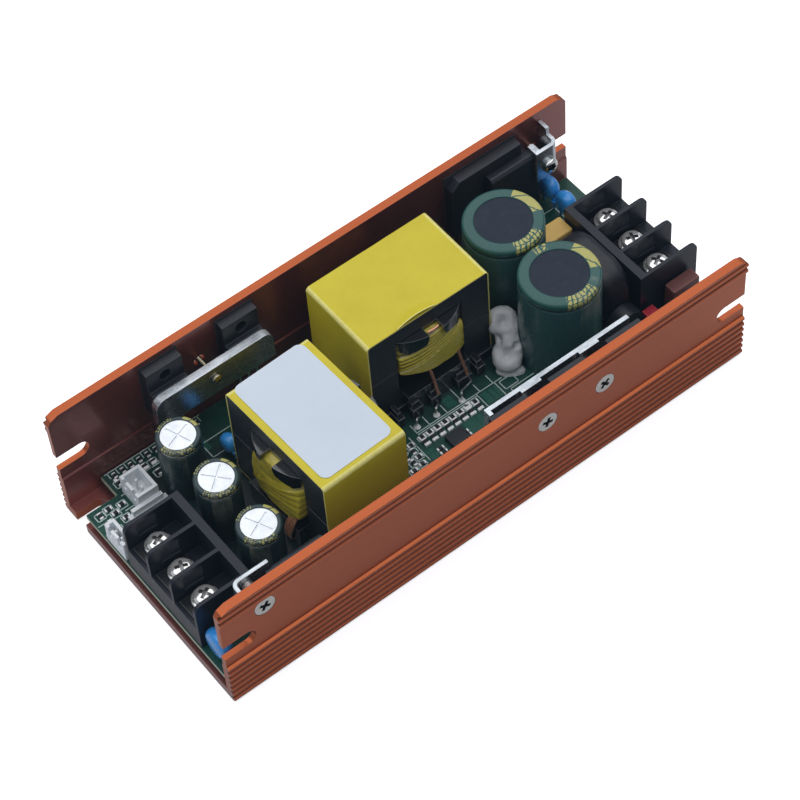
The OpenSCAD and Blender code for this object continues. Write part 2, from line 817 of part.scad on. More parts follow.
module bulk_sleeve(s) {
  color([0.2, 0.4, 0.38])
  translate([bulk_x, bulk_y + s * bulk_step, board_top]) sleeve(bulk_d / 2, bulk_h - sleeve_t, bulk_edge, bulk_disc_r);
}

module output_can(i) {
  color([0.85, 0.86, 0.88])
  translate([output_cap_x, output_cap_at[i], board_top]) difference() {
    can(output_cap_d / 2, output_cap_h - sleeve_t, output_edge);
    for (a = [0, 90])
      rotate([0, 0, vent_turn[i] + a])
        translate([-output_cap_d * 0.34, -vent_w / 2, output_cap_h - sleeve_t - vent_w / 2])
          cube([output_cap_d * 0.68, vent_w, vent_w]);
  }
}

module output_sleeve(i) {
  color([0.1, 0.2, 0.18])
  translate([output_cap_x, output_cap_at[i], board_top])
    sleeve(output_cap_d / 2, output_cap_h - sleeve_t, output_edge, output_cap_d / 2 - output_rim);
}

module bulk_capacitor_a() bulk_can(1);
module bulk_capacitor_b() bulk_can(-1);
module bulk_sleeve_a() bulk_sleeve(1);
module bulk_sleeve_b() bulk_sleeve(-1);
module output_capacitor_a() output_can(0);
module output_capacitor_b() output_can(1);
module output_capacitor_c() output_can(2);
module output_sleeve_a() output_sleeve(0);
module output_sleeve_b() output_sleeve(1);
module output_sleeve_c() output_sleeve(2);

// Barrier terminal block: back at x = 0, open towards +X, standing on z = 0,
// with a shallow hollow beside each screw in the barrier on the far side
module terminal_body(far) {
  hollow_r = (hollow_l * hollow_l / 4 + hollow_t * hollow_t) / (2 * hollow_t);
  color([0.17, 0.17, 0.19])
  difference() {
    union() {
      block([0, -term_w / 2, 0], [term_depth, term_w / 2, term_base]);
      block([0, -term_w / 2, 0], [term_back, term_w / 2, term_h]);
      for (i = [0 : term_ways]) {
        translate([0, -term_w / 2 + i * term_pitch + barrier_t, 0]) rotate([90, 0, 0])
          linear_extrude(height = barrier_t) polygon([
            [0, 0], [term_depth, 0],
            for (a = [0 : 15 : 90]) [term_depth, term_h] + term_round * [cos(a) - 1, sin(a) - 1],
            [0, term_h]
          ]);
      }
    }
    for (i = [0 : term_ways - 1]) {
      y = -term_w / 2 + barrier_t / 2 + (i + 0.5) * term_pitch;
      translate([term_screw_u, y, term_base - 5]) cylinder(d = screw_d + 2 * fit, h = 8);
      translate([term_screw_u, y, term_base + plate_t + washer_t + 1])
        linear_extrude(height = term_h - term_base - plate_t - washer_t - 2.2) scale([1, far]) intersection() {
          translate([0, cell_in + hollow_t - hollow_r]) circle(r = hollow_r, $fn = 96);
          translate([-hollow_l, 0]) square(2 * hollow_l);
        }
    }
  }
}

module terminal_plates() {
  plate_w = term_pitch - barrier_t - 0.6;
  color([0.8, 0.8, 0.78])
  for (i = [0 : term_ways - 1]) {
    y = -term_w / 2 + barrier_t / 2 + (i + 0.5) * term_pitch;
    translate([term_screw_u, y, term_base]) difference() {
      block([-plate_w / 2 + 0.6, -plate_w / 2, 0], [term_depth - term_screw_u - 1, plate_w / 2, plate_t]);
      translate([0, 0, -1]) cylinder(d = screw_d + 2 * fit, h = plate_t + 2);
    }
  }
}

module terminal_screws() {
  washer_w = term_pitch - barrier_t - 1.4;
  color("silver")
  for (i = [0 : term_ways - 1]) {
    y = -term_w / 2 + barrier_t / 2 + (i + 0.5) * term_pitch;
    translate([term_screw_u, y, term_base + plate_t]) {
      translate([-washer_w / 2, -washer_w / 2, 0]) cube([washer_w, washer_w, washer_t]);
      translate([0, 0, -term_screw_l]) cylinder(d = screw_d, h = term_screw_l + eps);
      difference() {
        intersection() {
          cylinder(d = term_screw_d, h = washer_t + term_head_h);
          translate([0, 0, washer_t + term_head_h - term_screw_d * 0.8]) sphere(r = term_screw_d * 0.8);
        }
        for (a = [0, 90]) {
          rotate([0, 0, a + 25]) translate([-recess_l / 2, -recess_w / 2, washer_t + term_head_h - recess_h])
            cube([recess_l, recess_w, term_head_h]);
        }
      }
    }
  }
}

module place_output_terminal() {
  translate([output_term_back, output_term_at, board_top]) rotate([0, 0, 180]) children();
}

module place_input_terminal() {
  translate([input_term_back, input_term_y, board_top]) children();
}

module output_terminal_block() place_output_terminal() terminal_body(-1);
module output_terminal_plates() place_output_terminal() terminal_plates();
module output_terminal_screws() place_output_terminal() terminal_screws();
module input_terminal_block() place_input_terminal() terminal_body(1);
module input_terminal_plates() place_input_terminal() terminal_plates();
module input_terminal_screws() place_input_terminal() terminal_screws();

module film_capacitor() {
  color([0.82, 0.66, 0.35])
  translate([film_x - film_l / 2, film_y - film_w / 2, board_top]) cube([film_l, film_w, film_h]);
}

// Round puck with rounded edges, its axis along X
module puck(r, t, edge) {
  rotate([0, 90, 0]) rotate_extrude($fn = 32) {
    translate([0, -t / 2]) square([r - edge, t]);
    translate([0, -t / 2 + edge]) square([r, t - 2 * edge]);
    for (s = [-1, 1]) translate([r - edge, s * (t / 2 - edge)]) circle(r = edge, $fn = 24);
  }
}

// Ring choke in a shrunk sleeve, standing across the channel
module filter_choke() {
  color([0.13, 0.13, 0.14])
  hull() {
    for (s = [-1, 1]) for (z = [choke_out, choke_h - choke_out])
      translate([choke_x, choke_y + s * (choke_w / 2 - choke_out), board_top + z])
        puck(choke_out, choke_t, choke_edge);
  }
}

module inrush_thermistor() {
  color([0.12, 0.12, 0.13]) {
    translate([thermistor_x, thermistor_y, board_top + thermistor_d / 2 + 0.4]) rotate([90, 0, 0])
      cylinder(d = thermistor_d, h = thermistor_t, center = true);
    for (s = [-1, 1])
      translate([thermistor_x + s * 2.5, thermistor_y, board_top]) cylinder(d = 0.8, h = 3);
  }
}

module fuse() {
  color([0.4, 0.26, 0.25])
  translate([fuse_x - fuse_l / 2, fuse_y - fuse_w / 2, board_top]) cube([fuse_l, fuse_w, fuse_h]);
}

module pulse_capacitor() {
  color([0.6, 0.12, 0.18])
  translate([pulse_x - pulse_size / 2, pulse_y - pulse_size / 2, board_top]) cube([pulse_size, pulse_size, pulse_h]);
}

// Disc capacitor standing on two leads, its flat sides facing along X
module disc_capacitor(d, lift) {
  color([0.16, 0.4, 0.65]) {
    translate([0, 0, d / 2 + lift]) rotate([0, 90, 0]) intersection() {
      cylinder(d = d, h = disc_t, center = true);
      sphere(d = d + 0.6);
    }
    for (s = [-1, 1]) translate([0, s * d * 0.32, 0]) cylinder(d = lead_t, h = lift + d * 0.2);
  }
}

module input_disc_capacitors() {
  for (i = [0, 1]) translate([disc_x, disc_y - i * (disc_d + disc_gap), board_top]) disc_capacitor(disc_d, input_disc_lift);
}

module output_disc_capacitors() {
  translate([-board_end + output_disc_in, output_disc_y, board_top]) disc_capacitor(output_disc_d, disc_lift);
  translate([transformer_x - wound_w / 2 + 1, transformer_y + wound_l / 2 + 1.8 + disc_d / 2, board_top])
    disc_capacitor(disc_d, disc_lift);
}

// Lobed dab of silicone where the bulk capacitors and the inductor leave a corner
module silicone_dab() {
  left = bulk_x - bulk_r;
  low_r = dab_r * 0.93;
  color([0.58, 0.58, 0.58])
  difference() {
    union() {
      translate([left + 0.4, bulk_y - 1.2, board_top + dab_rise]) sphere(r = dab_r);
      translate([left - dab_reach * 0.5, bulk_y - 4, board_top + dab_rise * 0.62]) sphere(r = dab_r * 0.76);
      translate([left - dab_reach, bulk_y - 6.4, board_top + low_r * 0.9]) sphere(r = low_r);
      translate([left - dab_reach - 0.8, bulk_y - 8.2, board_top]) cylinder(r = dab_r, h = dab_film);
    }
    for (s = [-1, 1])
      translate([bulk_x, bulk_y + s * bulk_step, 0]) cylinder(r = bulk_r + 0.1, h = body_h);
    block([inductor_x, inductor_y - core_w / 2 - 0.3, 0], [inductor_x + wound_l / 2 + 0.3, half_w, body_h]);
    block([-half_l, -half_w, 0], [half_l, half_w, board_top]);
  }
}

// Three leads from a package's underside to the board
module package_leads(drop, y, pitch = lead_pitch) {
  for (i = [-1, 0, 1])
    translate([i * pitch - lead_t / 2, y - lead_t / 2, -drop]) cube([lead_t, lead_t, drop]);
}

// Small package with a thin upper part: back on y = 0, front towards +Y, underside on z = 0
module small_package(drop) {
  color([0.14, 0.15, 0.18]) {
    difference() {
      rotate([90, 0, 90]) linear_extrude(height = pack_w, center = true) polygon([
        [0, 0], [pack_t, 0], [pack_t, pack_low - 0.8], [pack_t - 0.6, pack_low],
        [pack_thin, pack_low], [pack_thin, pack_h], [0, pack_h]
      ]);
      translate([0, -1, pack_h - 3.2]) rotate([-90, 0, 0]) cylinder(d = 3.2, h = pack_thin + 2);
    }
    package_leads(drop, pack_t * 0.55);
  }
}

module far_package(x) {
  low = far_pack_top - pack_h;
  translate([x, pad_face, low]) rotate([0, 0, 180]) small_package(low - board_top);
}

module near_package(x) {
  low = near_pack_top - pack_h;
  translate([x, -pad_face, low]) small_package(low - board_top);
}

module rectifier_a() far_package(far_pack_x - far_pack_pitch / 2);
module rectifier_b() far_package(far_pack_x + far_pack_pitch / 2);
module transistor_a() near_package(near_pack_x - near_pack_pitch);
module transistor_b() near_package(near_pack_x);
module transistor_c() near_package(near_pack_x + near_pack_pitch);

module far_clamp_bar() {
  color([0.75, 0.77, 0.8])
  translate([far_pack_x, far_bar_y, far_bar_top - far_bar_h]) difference() {
    rotate([90, 0, 0]) linear_extrude(height = far_bar_t) {
      translate([-far_bar_l / 2, 0]) square([far_bar_l, far_bar_h - far_bar_r]);
      translate([-far_bar_l / 2 + far_bar_r, 0]) square([far_bar_l - 2 * far_bar_r, far_bar_h]);
      for (s = [-1, 1]) translate([s * (far_bar_l / 2 - far_bar_r), far_bar_h - far_bar_r]) circle(r = far_bar_r);
    }
    translate([0, 1, far_screw_z - far_bar_top + far_bar_h]) rotate([90, 0, 0])
      cylinder(d = screw_d + 2 * fit, h = far_bar_t + 2);
  }
}

module far_clamp_screw() {
  color("silver")
  translate([far_pack_x, far_bar_y - far_bar_t, far_screw_z]) rotate([-90, 0, 0])
    pan_screw(far_bar_t + pack_t + pad_t + wall_t);
}

module near_clamp_bar() {
  color([0.8, 0.82, 0.85])
  difference() {
    union() {
      block(
        [near_pack_x - near_bar_l / 2, near_bar_y, near_bar_top - near_bar_h],
        [near_pack_x + near_bar_l / 2, near_bar_y + near_bar_t, near_bar_top]
      );
      for (x = near_screw_x) {
        block(
          [x - near_boss_w / 2, near_bar_y - near_boss_t, near_bar_top - near_bar_h],
          [x + near_boss_w / 2, near_bar_y, near_bar_top]
        );
      }
      block(
        [near_pack_x - near_bar_l / 2, near_bar_y - near_lip, near_pack_top - pack_h + pack_low + fit],
        [near_pack_x - near_bar_l / 2 + near_bar_t, near_bar_y + eps, near_bar_top]
      );
    }
    for (x = near_screw_x) {
      translate([x, near_bar_y - 4, near_screw_z]) rotate([-90, 0, 0]) cylinder(d = screw_d + 2 * fit, h = 8);
    }
  }
}

module near_clamp_screws() {
  color("silver")
  for (x = near_screw_x) {
    translate([x, -panel_y, near_screw_z]) rotate([-90, 0, 0])
      csk_screw(panel_y + near_bar_y + near_bar_t + 0.6);
  }
}

module output_rectifier() {
  color([0.14, 0.15, 0.18])
  translate([large_x, -pad_face, large_low]) {
    difference() {
      rotate([90, 0, 90]) linear_extrude(height = large_w, center = true) polygon([
        [0, 0], [large_t, 0], [large_t, large_h - 1.2], [large_t - 1.2, large_h], [0, large_h]
      ]);
      translate([0, -1, large_h - 6]) rotate([-90, 0, 0]) cylinder(d = 3.4, h = large_t + 2);
    }
    package_leads(large_low - board_top, large_t * 0.5, large_lead_pitch);
  }
}

// Angle strip seen along its height: one leg to x = reach, the other to y = -depth, bent round the corner
module bent_strip(reach, depth) {
  outer = clip_bend + clip_t;
  translate([outer, -clip_t]) square([reach - outer, clip_t]);
  translate([0, -depth]) square([clip_t, depth - outer]);
  translate([outer, -outer]) intersection() {
    difference() {
      circle(r = outer);
      circle(r = clip_bend);
    }
    translate([-outer, 0]) square(outer);
  }
}

module output_clip() {
  front = large_face + clip_t;
  color([0.78, 0.8, 0.84])
  difference() {
    translate([clip_x0, front, clip_z]) linear_extrude(height = clip_h)
      bent_strip(clip_x1 - clip_x0, front + wall_in);
    translate([clip_screw_x, large_face - 1, clip_screw_z]) rotate([-90, 0, 0])
      cylinder(d = screw_d + 2 * fit, h = clip_t + 2);
  }
}

module output_clip_screw() {
  color("silver")
  translate([clip_screw_x, -panel_y, clip_screw_z]) rotate([-90, 0, 0])
    csk_screw(panel_y + large_face + clip_t + 1.2);
}

module bridge_rectifier() {
  chamfer = 2.4;
  color([0.15, 0.16, 0.19]) {
    translate([bridge_x, bridge_face + bridge_t, bridge_low]) rotate([90, 0, 0]) linear_extrude(height = bridge_t) polygon([
      [-bridge_w / 2, 0], [bridge_w / 2, 0], [bridge_w / 2, bridge_h],
      [-bridge_w / 2 + chamfer, bridge_h], [-bridge_w / 2, bridge_h - chamfer]
    ]);
    for (i = [-1.5 : 1 : 1.5])
      block(
        [bridge_x + i * 5 - 0.6, bridge_face + bridge_t / 2 - 0.4, board_top],
        [bridge_x + i * 5 + 0.6, bridge_face + bridge_t / 2 + 0.4, bridge_low]
      );
  }
}

module boost_transistor() {
  low = boost_top - boost_h;
  color([0.13, 0.14, 0.17])
  translate([boost_x, bridge_face, low]) rotate([0, 0, 180]) {
    rotate([90, 0, 90]) linear_extrude(height = boost_w, center = true) polygon([
      [0, 0], [boost_t, 0], [boost_t, boost_h - 0.8], [boost_t - 0.8, boost_h], [0, boost_h]
    ]);
    package_leads(low - board_top, boost_t / 2);
  }
}

// Bent strip round the package's end, with a tab over the package and a rise at the wall
module input_clip() {
  front = boost_face - clip_t;
  top = boost_top + clip_t;
  color([0.78, 0.8, 0.84])
  difference() {
    union() {
      translate([input_clip_x1, front, input_clip_z]) rotate([0, 0, 180])
        linear_extrude(height = top - input_clip_z) bent_strip(input_clip_l, wall_in - front);
      block([input_clip_x0, front, boost_top], [boost_x + boost_w / 2, bridge_face, top]);
      block(
        [input_clip_x1 - clip_t, bridge_face, top - eps],
        [input_clip_x1, wall_in, top + input_clip_rise]
      );
    }
    translate([input_screw_x, front - 1, input_screw_z]) rotate([-90, 0, 0])
      cylinder(d = screw_d + 2 * fit, h = clip_t + 2);
  }
}

module input_clip_screw() {
  color("silver")
  translate([input_screw_x, boost_face - clip_t, input_screw_z]) rotate([-90, 0, 0])
    pan_screw(clip_t + boost_t + bridge_t + pad_t + wall_t);
}

// Two-way pin header: open well with two pins, long side along Y
module pin_header(w) {
  floor_h = 1.6;
  pin = 0.6;
  color([0.9, 0.9, 0.88]) {
    difference() {
      translate([-w / 2, -conn_l / 2, 0]) cube([w, conn_l, conn_h]);
      translate([-w / 2 + conn_wall, -conn_l / 2 + conn_wall, floor_h])
        cube([w - 2 * conn_wall, conn_l - 2 * conn_wall, conn_h]);
      for (s = [-1, 1]) translate([-w, s * 2 - 0.6, conn_h / 2]) cube([w, 1.2, conn_h]);
    }
    for (s = [-1, 1])
      translate([-pin / 2, s * conn_pin_pitch / 2 - pin / 2, floor_h - eps]) cube([pin, pin, conn_h - floor_h - 1]);
  }
}

// Upper connector, with the key bar that its plug slides along
module connector_a() {
  translate([conn_a[0], conn_a[1], board_top]) {
    pin_header(conn_w);
    color([0.9, 0.9, 0.88]) translate([-key_l * 0.6, -conn_l / 2 - key_w, 0]) {
      cube([key_l, key_w + eps, key_h * 0.5]);
      translate([key_l * 0.1, key_w * 0.4, 0]) cube([key_l * 0.8, key_w * 0.6 + eps, key_h]);
    }
  }
}

module connector_b() translate([conn_b[0], conn_b[1], board_top]) pin_header(conn_b_w);

// Thermal pad behind a package, on the +Y wall
module pad(x, w, low, high) {
  block([x - w / 2, pad_face, low], [x + w / 2, wall_in, high]);
}

module thermal_pads() {
  over = 0.4;
  color([0.75, 0.78, 0.8]) {
    for (s = [-1, 1])
      pad(far_pack_x + s * far_pack_pitch / 2, pack_w + 2 * over, far_pack_top - pack_h, far_pack_top + over);
    pad(bridge_x, bridge_w + 2 * over, bridge_low, bridge_top + over);
    mirror([0, 1, 0]) {
      for (s = [-1, 0, 1])
        pad(near_pack_x + s * near_pack_pitch, pack_w + 2 * over, near_pack_top - pack_h, near_pack_top + over);
      pad(large_x, large_w + over, large_low, large_top + over);
    }
  }
}

module control_chip() {
  color([0.1, 0.1, 0.11])
  translate([inductor_x - chip_in, inductor_y - core_w / 2 - chip_out, board_top]) {
    translate([-chip_l / 2, -chip_w / 2, 0]) cube([chip_l, chip_w, chip_h]);
    for (s = [-1, 1]) for (i = [-1.5 : 1 : 1.5])
      translate([i * chip_pitch - 0.2, s * (chip_w / 2 + 0.5) - 0.5, 0]) cube([0.4, 1, 0.3]);
  }
}

channel_housing();
insulating_sheet();
board_standoffs();
floor_screws();
circuit_board();
output_transformer_core();
output_transformer_bobbin();
output_transformer_winding();
output_transformer_tape();
output_transformer_label();
boost_inductor_core();
boost_inductor_bobbin();
boost_inductor_winding();
boost_inductor_tape();
bulk_capacitor_a();
bulk_capacitor_b();
bulk_sleeve_a();
bulk_sleeve_b();
output_capacitor_a();
output_capacitor_b();
output_capacitor_c();
output_sleeve_a();
output_sleeve_b();
output_sleeve_c();
output_terminal_block();
input_terminal_block();
output_terminal_plates();
input_terminal_plates();
output_terminal_screws();
input_terminal_screws();
film_capacitor();
filter_choke();
inrush_thermistor();
fuse();
pulse_capacitor();
input_disc_capacitors();
output_disc_capacitors();
silicone_dab();
far_clamp_bar();
far_clamp_screw();
rectifier_a();
rectifier_b();
near_clamp_bar();
near_clamp_screws();
transistor_a();
transistor_b();
transistor_c();
output_clip();
output_clip_screw();
output_rectifier();
bridge_rectifier();
boost_transistor();
input_clip();
input_clip_screw();
connector_a();
connector_b();
thermal_pads();
control_chip();
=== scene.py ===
import logging
import math
import random
from dataclasses import dataclass, field, replace
from enum import Enum
from typing import Any, Callable, Iterable, Optional, Sequence

import bmesh
import bpy
from mathutils import Matrix, Vector, noise


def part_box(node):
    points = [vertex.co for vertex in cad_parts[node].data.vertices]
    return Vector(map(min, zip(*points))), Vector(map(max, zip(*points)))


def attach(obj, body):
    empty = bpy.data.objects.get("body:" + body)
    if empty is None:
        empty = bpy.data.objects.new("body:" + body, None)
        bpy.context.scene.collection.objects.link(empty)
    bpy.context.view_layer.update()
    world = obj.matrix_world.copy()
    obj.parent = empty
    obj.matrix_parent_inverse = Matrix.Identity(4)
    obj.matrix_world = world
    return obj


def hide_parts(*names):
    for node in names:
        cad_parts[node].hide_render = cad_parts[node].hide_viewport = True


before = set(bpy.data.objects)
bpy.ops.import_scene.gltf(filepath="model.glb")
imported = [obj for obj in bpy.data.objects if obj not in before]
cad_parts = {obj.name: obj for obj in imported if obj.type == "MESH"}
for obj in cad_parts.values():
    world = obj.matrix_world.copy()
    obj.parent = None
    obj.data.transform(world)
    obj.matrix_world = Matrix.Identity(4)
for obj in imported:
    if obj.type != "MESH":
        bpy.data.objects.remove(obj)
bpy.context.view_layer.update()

log = logging.getLogger("power_supply")
MM = 0.001
BODY = "root"
Colour = tuple[float, float, float]
Point = tuple[float, float, float]
Block = tuple[Point, Point, float]
Socket = bpy.types.NodeSocket


# --------------------------------------------------------------------------- node trees


class Graph:
    """Short hand for adding nodes to a shader tree."""

    def __init__(self, tree: bpy.types.NodeTree) -> None:
        """Keeps the tree."""
        self.tree = tree

    def add(self, kind: str, inputs: Optional[dict] = None, **settings: Any) -> bpy.types.Node:
        """Adds one node.

        Args:
            kind: the node's type.
            inputs: values or sockets by input name or index.
            **settings: properties of the node.

        Returns:
            The node.
        """
        node = self.tree.nodes.new(kind)
        for name, value in settings.items():
            setattr(node, name, value)
        for key, value in (inputs or {}).items():
            if isinstance(value, Socket):
                self.tree.links.new(value, node.inputs[key])
                continue
            if node.inputs[key].type == "RGBA" and len(value) == 3:
                value = (*value, 1.0)
            node.inputs[key].default_value = value
        return node

    def math(self, operation: str, a: Any, b: Any = 0.0, c: Any = 0.0) -> Socket:
        """One Math node's result."""
        return self.add("ShaderNodeMath", {0: a, 1: b, 2: c}, operation=operation).outputs[0]

    def product(self, *values: Any, clamp: bool = False) -> Socket:
        """Several values multiplied, held within 0 and 1 where clamp is set."""
        result = values[0]
        for value in values[1:]:
            result = self.math("MULTIPLY", result, value)
        result.node.use_clamp = clamp
        return result

    def vector(self, operation: str, a: Any, b: Any = (0.0, 0.0, 0.0)) -> Socket:
        """One Vector Math node's result."""
        return self.add("ShaderNodeVectorMath", {0: a, 1: b}, operation=operation).outputs[0]

    def split(self, vector: Any) -> Any:
        """X, Y and Z of a vector."""
        return self.add("ShaderNodeSeparateXYZ", {0: vector}).outputs

    def layer(self, name: str) -> Socket:
        """A value that the mesh carries."""
        return self.add("ShaderNodeAttribute", attribute_name=name, attribute_type="GEOMETRY").outputs["Fac"]

    def place(self) -> Socket:
        """Object coordinates."""
        return self.add("ShaderNodeTexCoord").outputs["Object"]

    def mix(self, factor: Any, a: Any, b: Any) -> Socket:
        """A colour mixed from a to b."""
        return self.add("ShaderNodeMix", {0: factor, 6: a, 7: b}, data_type="RGBA").outputs[2]

    def noise(self, vector: Any, scale: Any, detail: float = 3.0, roughness: float = 0.55) -> Socket:
        """Value of a noise texture."""
        return self.add("ShaderNodeTexNoise", {"Vector": vector, "Scale": scale, "Detail": detail,
                                               "Roughness": roughness}).outputs[0]

    def span(self, value: Any, low: Any, high: Any, to_low: Any = 0.0, to_high: Any = 1.0) -> Socket:
        """Maps low..high to to_low..to_high, clamped."""
        return self.add("ShaderNodeMapRange", {0: value, 1: low, 2: high, 3: to_low, 4: to_high}).outputs[0]

    def use(self, group: bpy.types.NodeTree, inputs: dict) -> Any:
        """Places a shared group and gives its outputs."""
        return self.add("ShaderNodeGroup", inputs, node_tree=group).outputs


class Effects:
    """Shader effects that several finishes share, each built once as a node group."""

    made: dict[str, bpy.types.NodeTree] = {}

    @classmethod
    def group(cls, name: str, inputs: dict[str, str], outputs: dict[str, str],
              fill: Callable[[Graph, Any], dict[str, Socket]]) -> bpy.types.NodeTree:
        """Builds a group, or gives the one already built.

        Args:
            name: the group's name.
            inputs: socket kinds by name.
            outputs: socket kinds by name.
            fill: adds the nodes and gives what each output puts out.

        Returns:
            The node group.
        """
        if name not in cls.made:
            tree = bpy.data.node_groups.new(name, "ShaderNodeTree")
            for in_out, sockets in (("INPUT", inputs), ("OUTPUT", outputs)):
                for key, kind in sockets.items():
                    tree.interface.new_socket(key, in_out=in_out, socket_type="NodeSocket" + kind)
            graph = Graph(tree)
            start = graph.add("NodeGroupInput").outputs
            graph.add("NodeGroupOutput", fill(graph, start))
            cls.made[name] = tree
        return cls.made[name]

    @classmethod
    def mottle(cls) -> bpy.types.NodeTree:
        """Two colours mixed by noise of two scales."""
        def fill(g: Graph, i: Any) -> dict[str, Socket]:
            """Nodes of the mottle."""
            wide = g.noise(i["Vector"], i["Scale"], 2.0)
            fine = g.noise(i["Vector"], g.product(i["Scale"], 7.3), 3.0)
            value = g.span(g.math("ADD", g.product(wide, 0.7), g.product(fine, 0.3)), 0.32, 0.68)
            return {"Colour": g.mix(value, i["Colour"], i["Shade"])}
        return cls.group("mottle", {"Vector": "Vector", "Scale": "Float", "Colour": "Color", "Shade": "Color"},
                         {"Colour": "Color"}, fill)

    @classmethod
    def worn_and_highlit_edges(cls) -> bpy.types.NodeTree:
        """A paler colour on the rounded edges, broken up by noise: wear, and a painted highlight where edges catch the
        light.
        """
        def fill(g: Graph, i: Any) -> dict[str, Socket]:
            """Nodes of the edge wear and painted edge highlight."""
            broken = g.span(g.noise(i["Vector"], 900.0), 0.25, 0.6, 0.55, 1.0)
            mask = g.product(g.layer("edge"), broken, i["Amount"], clamp=True)
            return {"Colour": g.mix(mask, i["Colour"], i["Edge"])}
        return cls.group("worn_and_highlit_edges", {"Vector": "Vector", "Colour": "Color", "Edge": "Color", "Amount": "Float"},
                         {"Colour": "Color"}, fill)

    @classmethod
    def recess(cls) -> bpy.types.NodeTree:
        """Painted shade: a darker colour and less coat in recesses, grooves and creases, from the "deep" layer."""
        def fill(g: Graph, i: Any) -> dict[str, Socket]:
            """Nodes of the painted recess shade."""
            mask = g.product(g.layer("deep"), i["Amount"], clamp=True)
            return {"Colour": g.mix(mask, i["Colour"], i["PaintedShade"]),
                    "Coat": g.product(g.math("SUBTRACT", 1.0, mask), i["Coat"])}
        return cls.group("recess", {"Colour": "Color", "PaintedShade": "Color", "Amount": "Float", "Coat": "Float"},
                         {"Colour": "Color", "Coat": "Float"}, fill)

    @classmethod
    def dust(cls) -> bpy.types.NodeTree:
        """A thin pale film on what faces up."""
        def fill(g: Graph, i: Any) -> dict[str, Socket]:
            """Nodes of the dust."""
            up = g.span(g.split(g.add("ShaderNodeNewGeometry").outputs["Normal"])[2], 0.4, 1.0)
            specks = g.span(g.noise(i["Vector"], 420.0, 5.0, 0.7), 0.5, 0.75)
            mask = g.product(up, specks, i["Amount"], clamp=True)
            return {"Colour": g.mix(mask, i["Colour"], (0.32, 0.31, 0.29))}
        return cls.group("dust", {"Vector": "Vector", "Colour": "Color", "Amount": "Float"}, {"Colour": "Color"}, fill)

    @classmethod
    def grain(cls) -> bpy.types.NodeTree:
        """Fine relief, stretched by a vector: a value for the gloss and a bumped normal."""
        def fill(g: Graph, i: Any) -> dict[str, Socket]:
            """Nodes of the grain."""
            value = g.noise(g.vector("MULTIPLY", i["Vector"], i["Stretch"]), i["Scale"], 4.0, 0.6)
            bump = g.add("ShaderNodeBump", {"Strength": i["Strength"], "Distance": 0.0001, "Height": value})
            return {"Value": value, "Normal": bump.outputs[0]}
        return cls.group("grain", {"Vector": "Vector", "Stretch": "Vector", "Scale": "Float", "Strength": "Float"},
                         {"Value": "Float", "Normal": "Vector"}, fill)

    @classmethod
    def foot_shade(cls) -> bpy.types.NodeTree:
        """Painted shade: a soft mask round an upright box that stands on a board, for darkening the board there."""
        def fill(g: Graph, i: Any) -> dict[str, Socket]:
            """Nodes of the painted shade."""
            away = g.vector("ABSOLUTE", g.vector("SUBTRACT", i["Vector"], i["Centre"]))
            gaps = g.split(g.vector("SUBTRACT", away, i["Half"]))
            gap = g.math("MAXIMUM", g.math("MAXIMUM", gaps[0], gaps[1]), 0.0)
            return {"Mask": g.span(gap, i["Reach"], 0.0)}
        return cls.group("foot_shade", {"Vector": "Vector", "Centre": "Vector", "Half": "Vector", "Reach": "Float"},
                         {"Mask": "Float"}, fill)

    @classmethod
    def rim_mark(cls) -> bpy.types.NodeTree:
        """A printed sector round a can's axis, solid or striped, as a mask."""
        def fill(g: Graph, i: Any) -> dict[str, Socket]:
            """Nodes of the mark."""
            place = g.vector("SUBTRACT", i["Vector"], i["Centre"])
            x, y, z = g.split(place)
            radius = g.math("SQRT", g.math("ADD", g.product(x, x), g.product(y, y)))
            turn = g.math("ARCTAN2", y, x)
            off = g.math("ABSOLUTE", g.math("WRAP", g.math("SUBTRACT", turn, i["Angle"]), math.pi, -math.pi))
            inside = g.math("LESS_THAN", off, i["Half"])
            ring = g.product(g.math("GREATER_THAN", radius, i["Inner"]), g.math("GREATER_THAN", z, i["Low"]))
            uneven = g.product(g.noise(place, 800.0, 2.0), i["Uneven"])
            slant = g.product(radius, i["Slant"])
            stripe = g.math("SINE", g.math("ADD", g.math("ADD", g.product(turn, i["Stripes"]), uneven), slant))
            gaps = g.math("GREATER_THAN", stripe, i["Fill"])
            across = g.product(g.math("SUBTRACT", radius, z), 4200.0, i["Rows"])
            lines = g.math("SINE", g.math("ADD", across, g.product(uneven, i["Rows"])))
            rows = g.math("GREATER_THAN", lines, -0.75)
            worn = g.span(g.noise(place, 1400.0, 4.0), i["Wear"], g.math("ADD", i["Wear"], 0.08))
            return {"Mask": g.product(inside, ring, gaps, rows, worn)}
        values = ("Angle", "Half", "Inner", "Low", "Stripes", "Slant", "Fill", "Rows", "Uneven", "Wear")
        return cls.group("rim_mark", {"Vector": "Vector", "Centre": "Vector", **dict.fromkeys(values, "Float")},
                         {"Mask": "Float"}, fill)


# --------------------------------------------------------------------------- finishes


def node_material(name: str) -> tuple[bpy.types.Material, Graph]:
    """A new material with an empty node tree, and the short hand for filling it."""
    mat = bpy.data.materials.new(name)
    mat.use_nodes = True
    mat.node_tree.nodes.clear()
    return mat, Graph(mat.node_tree)


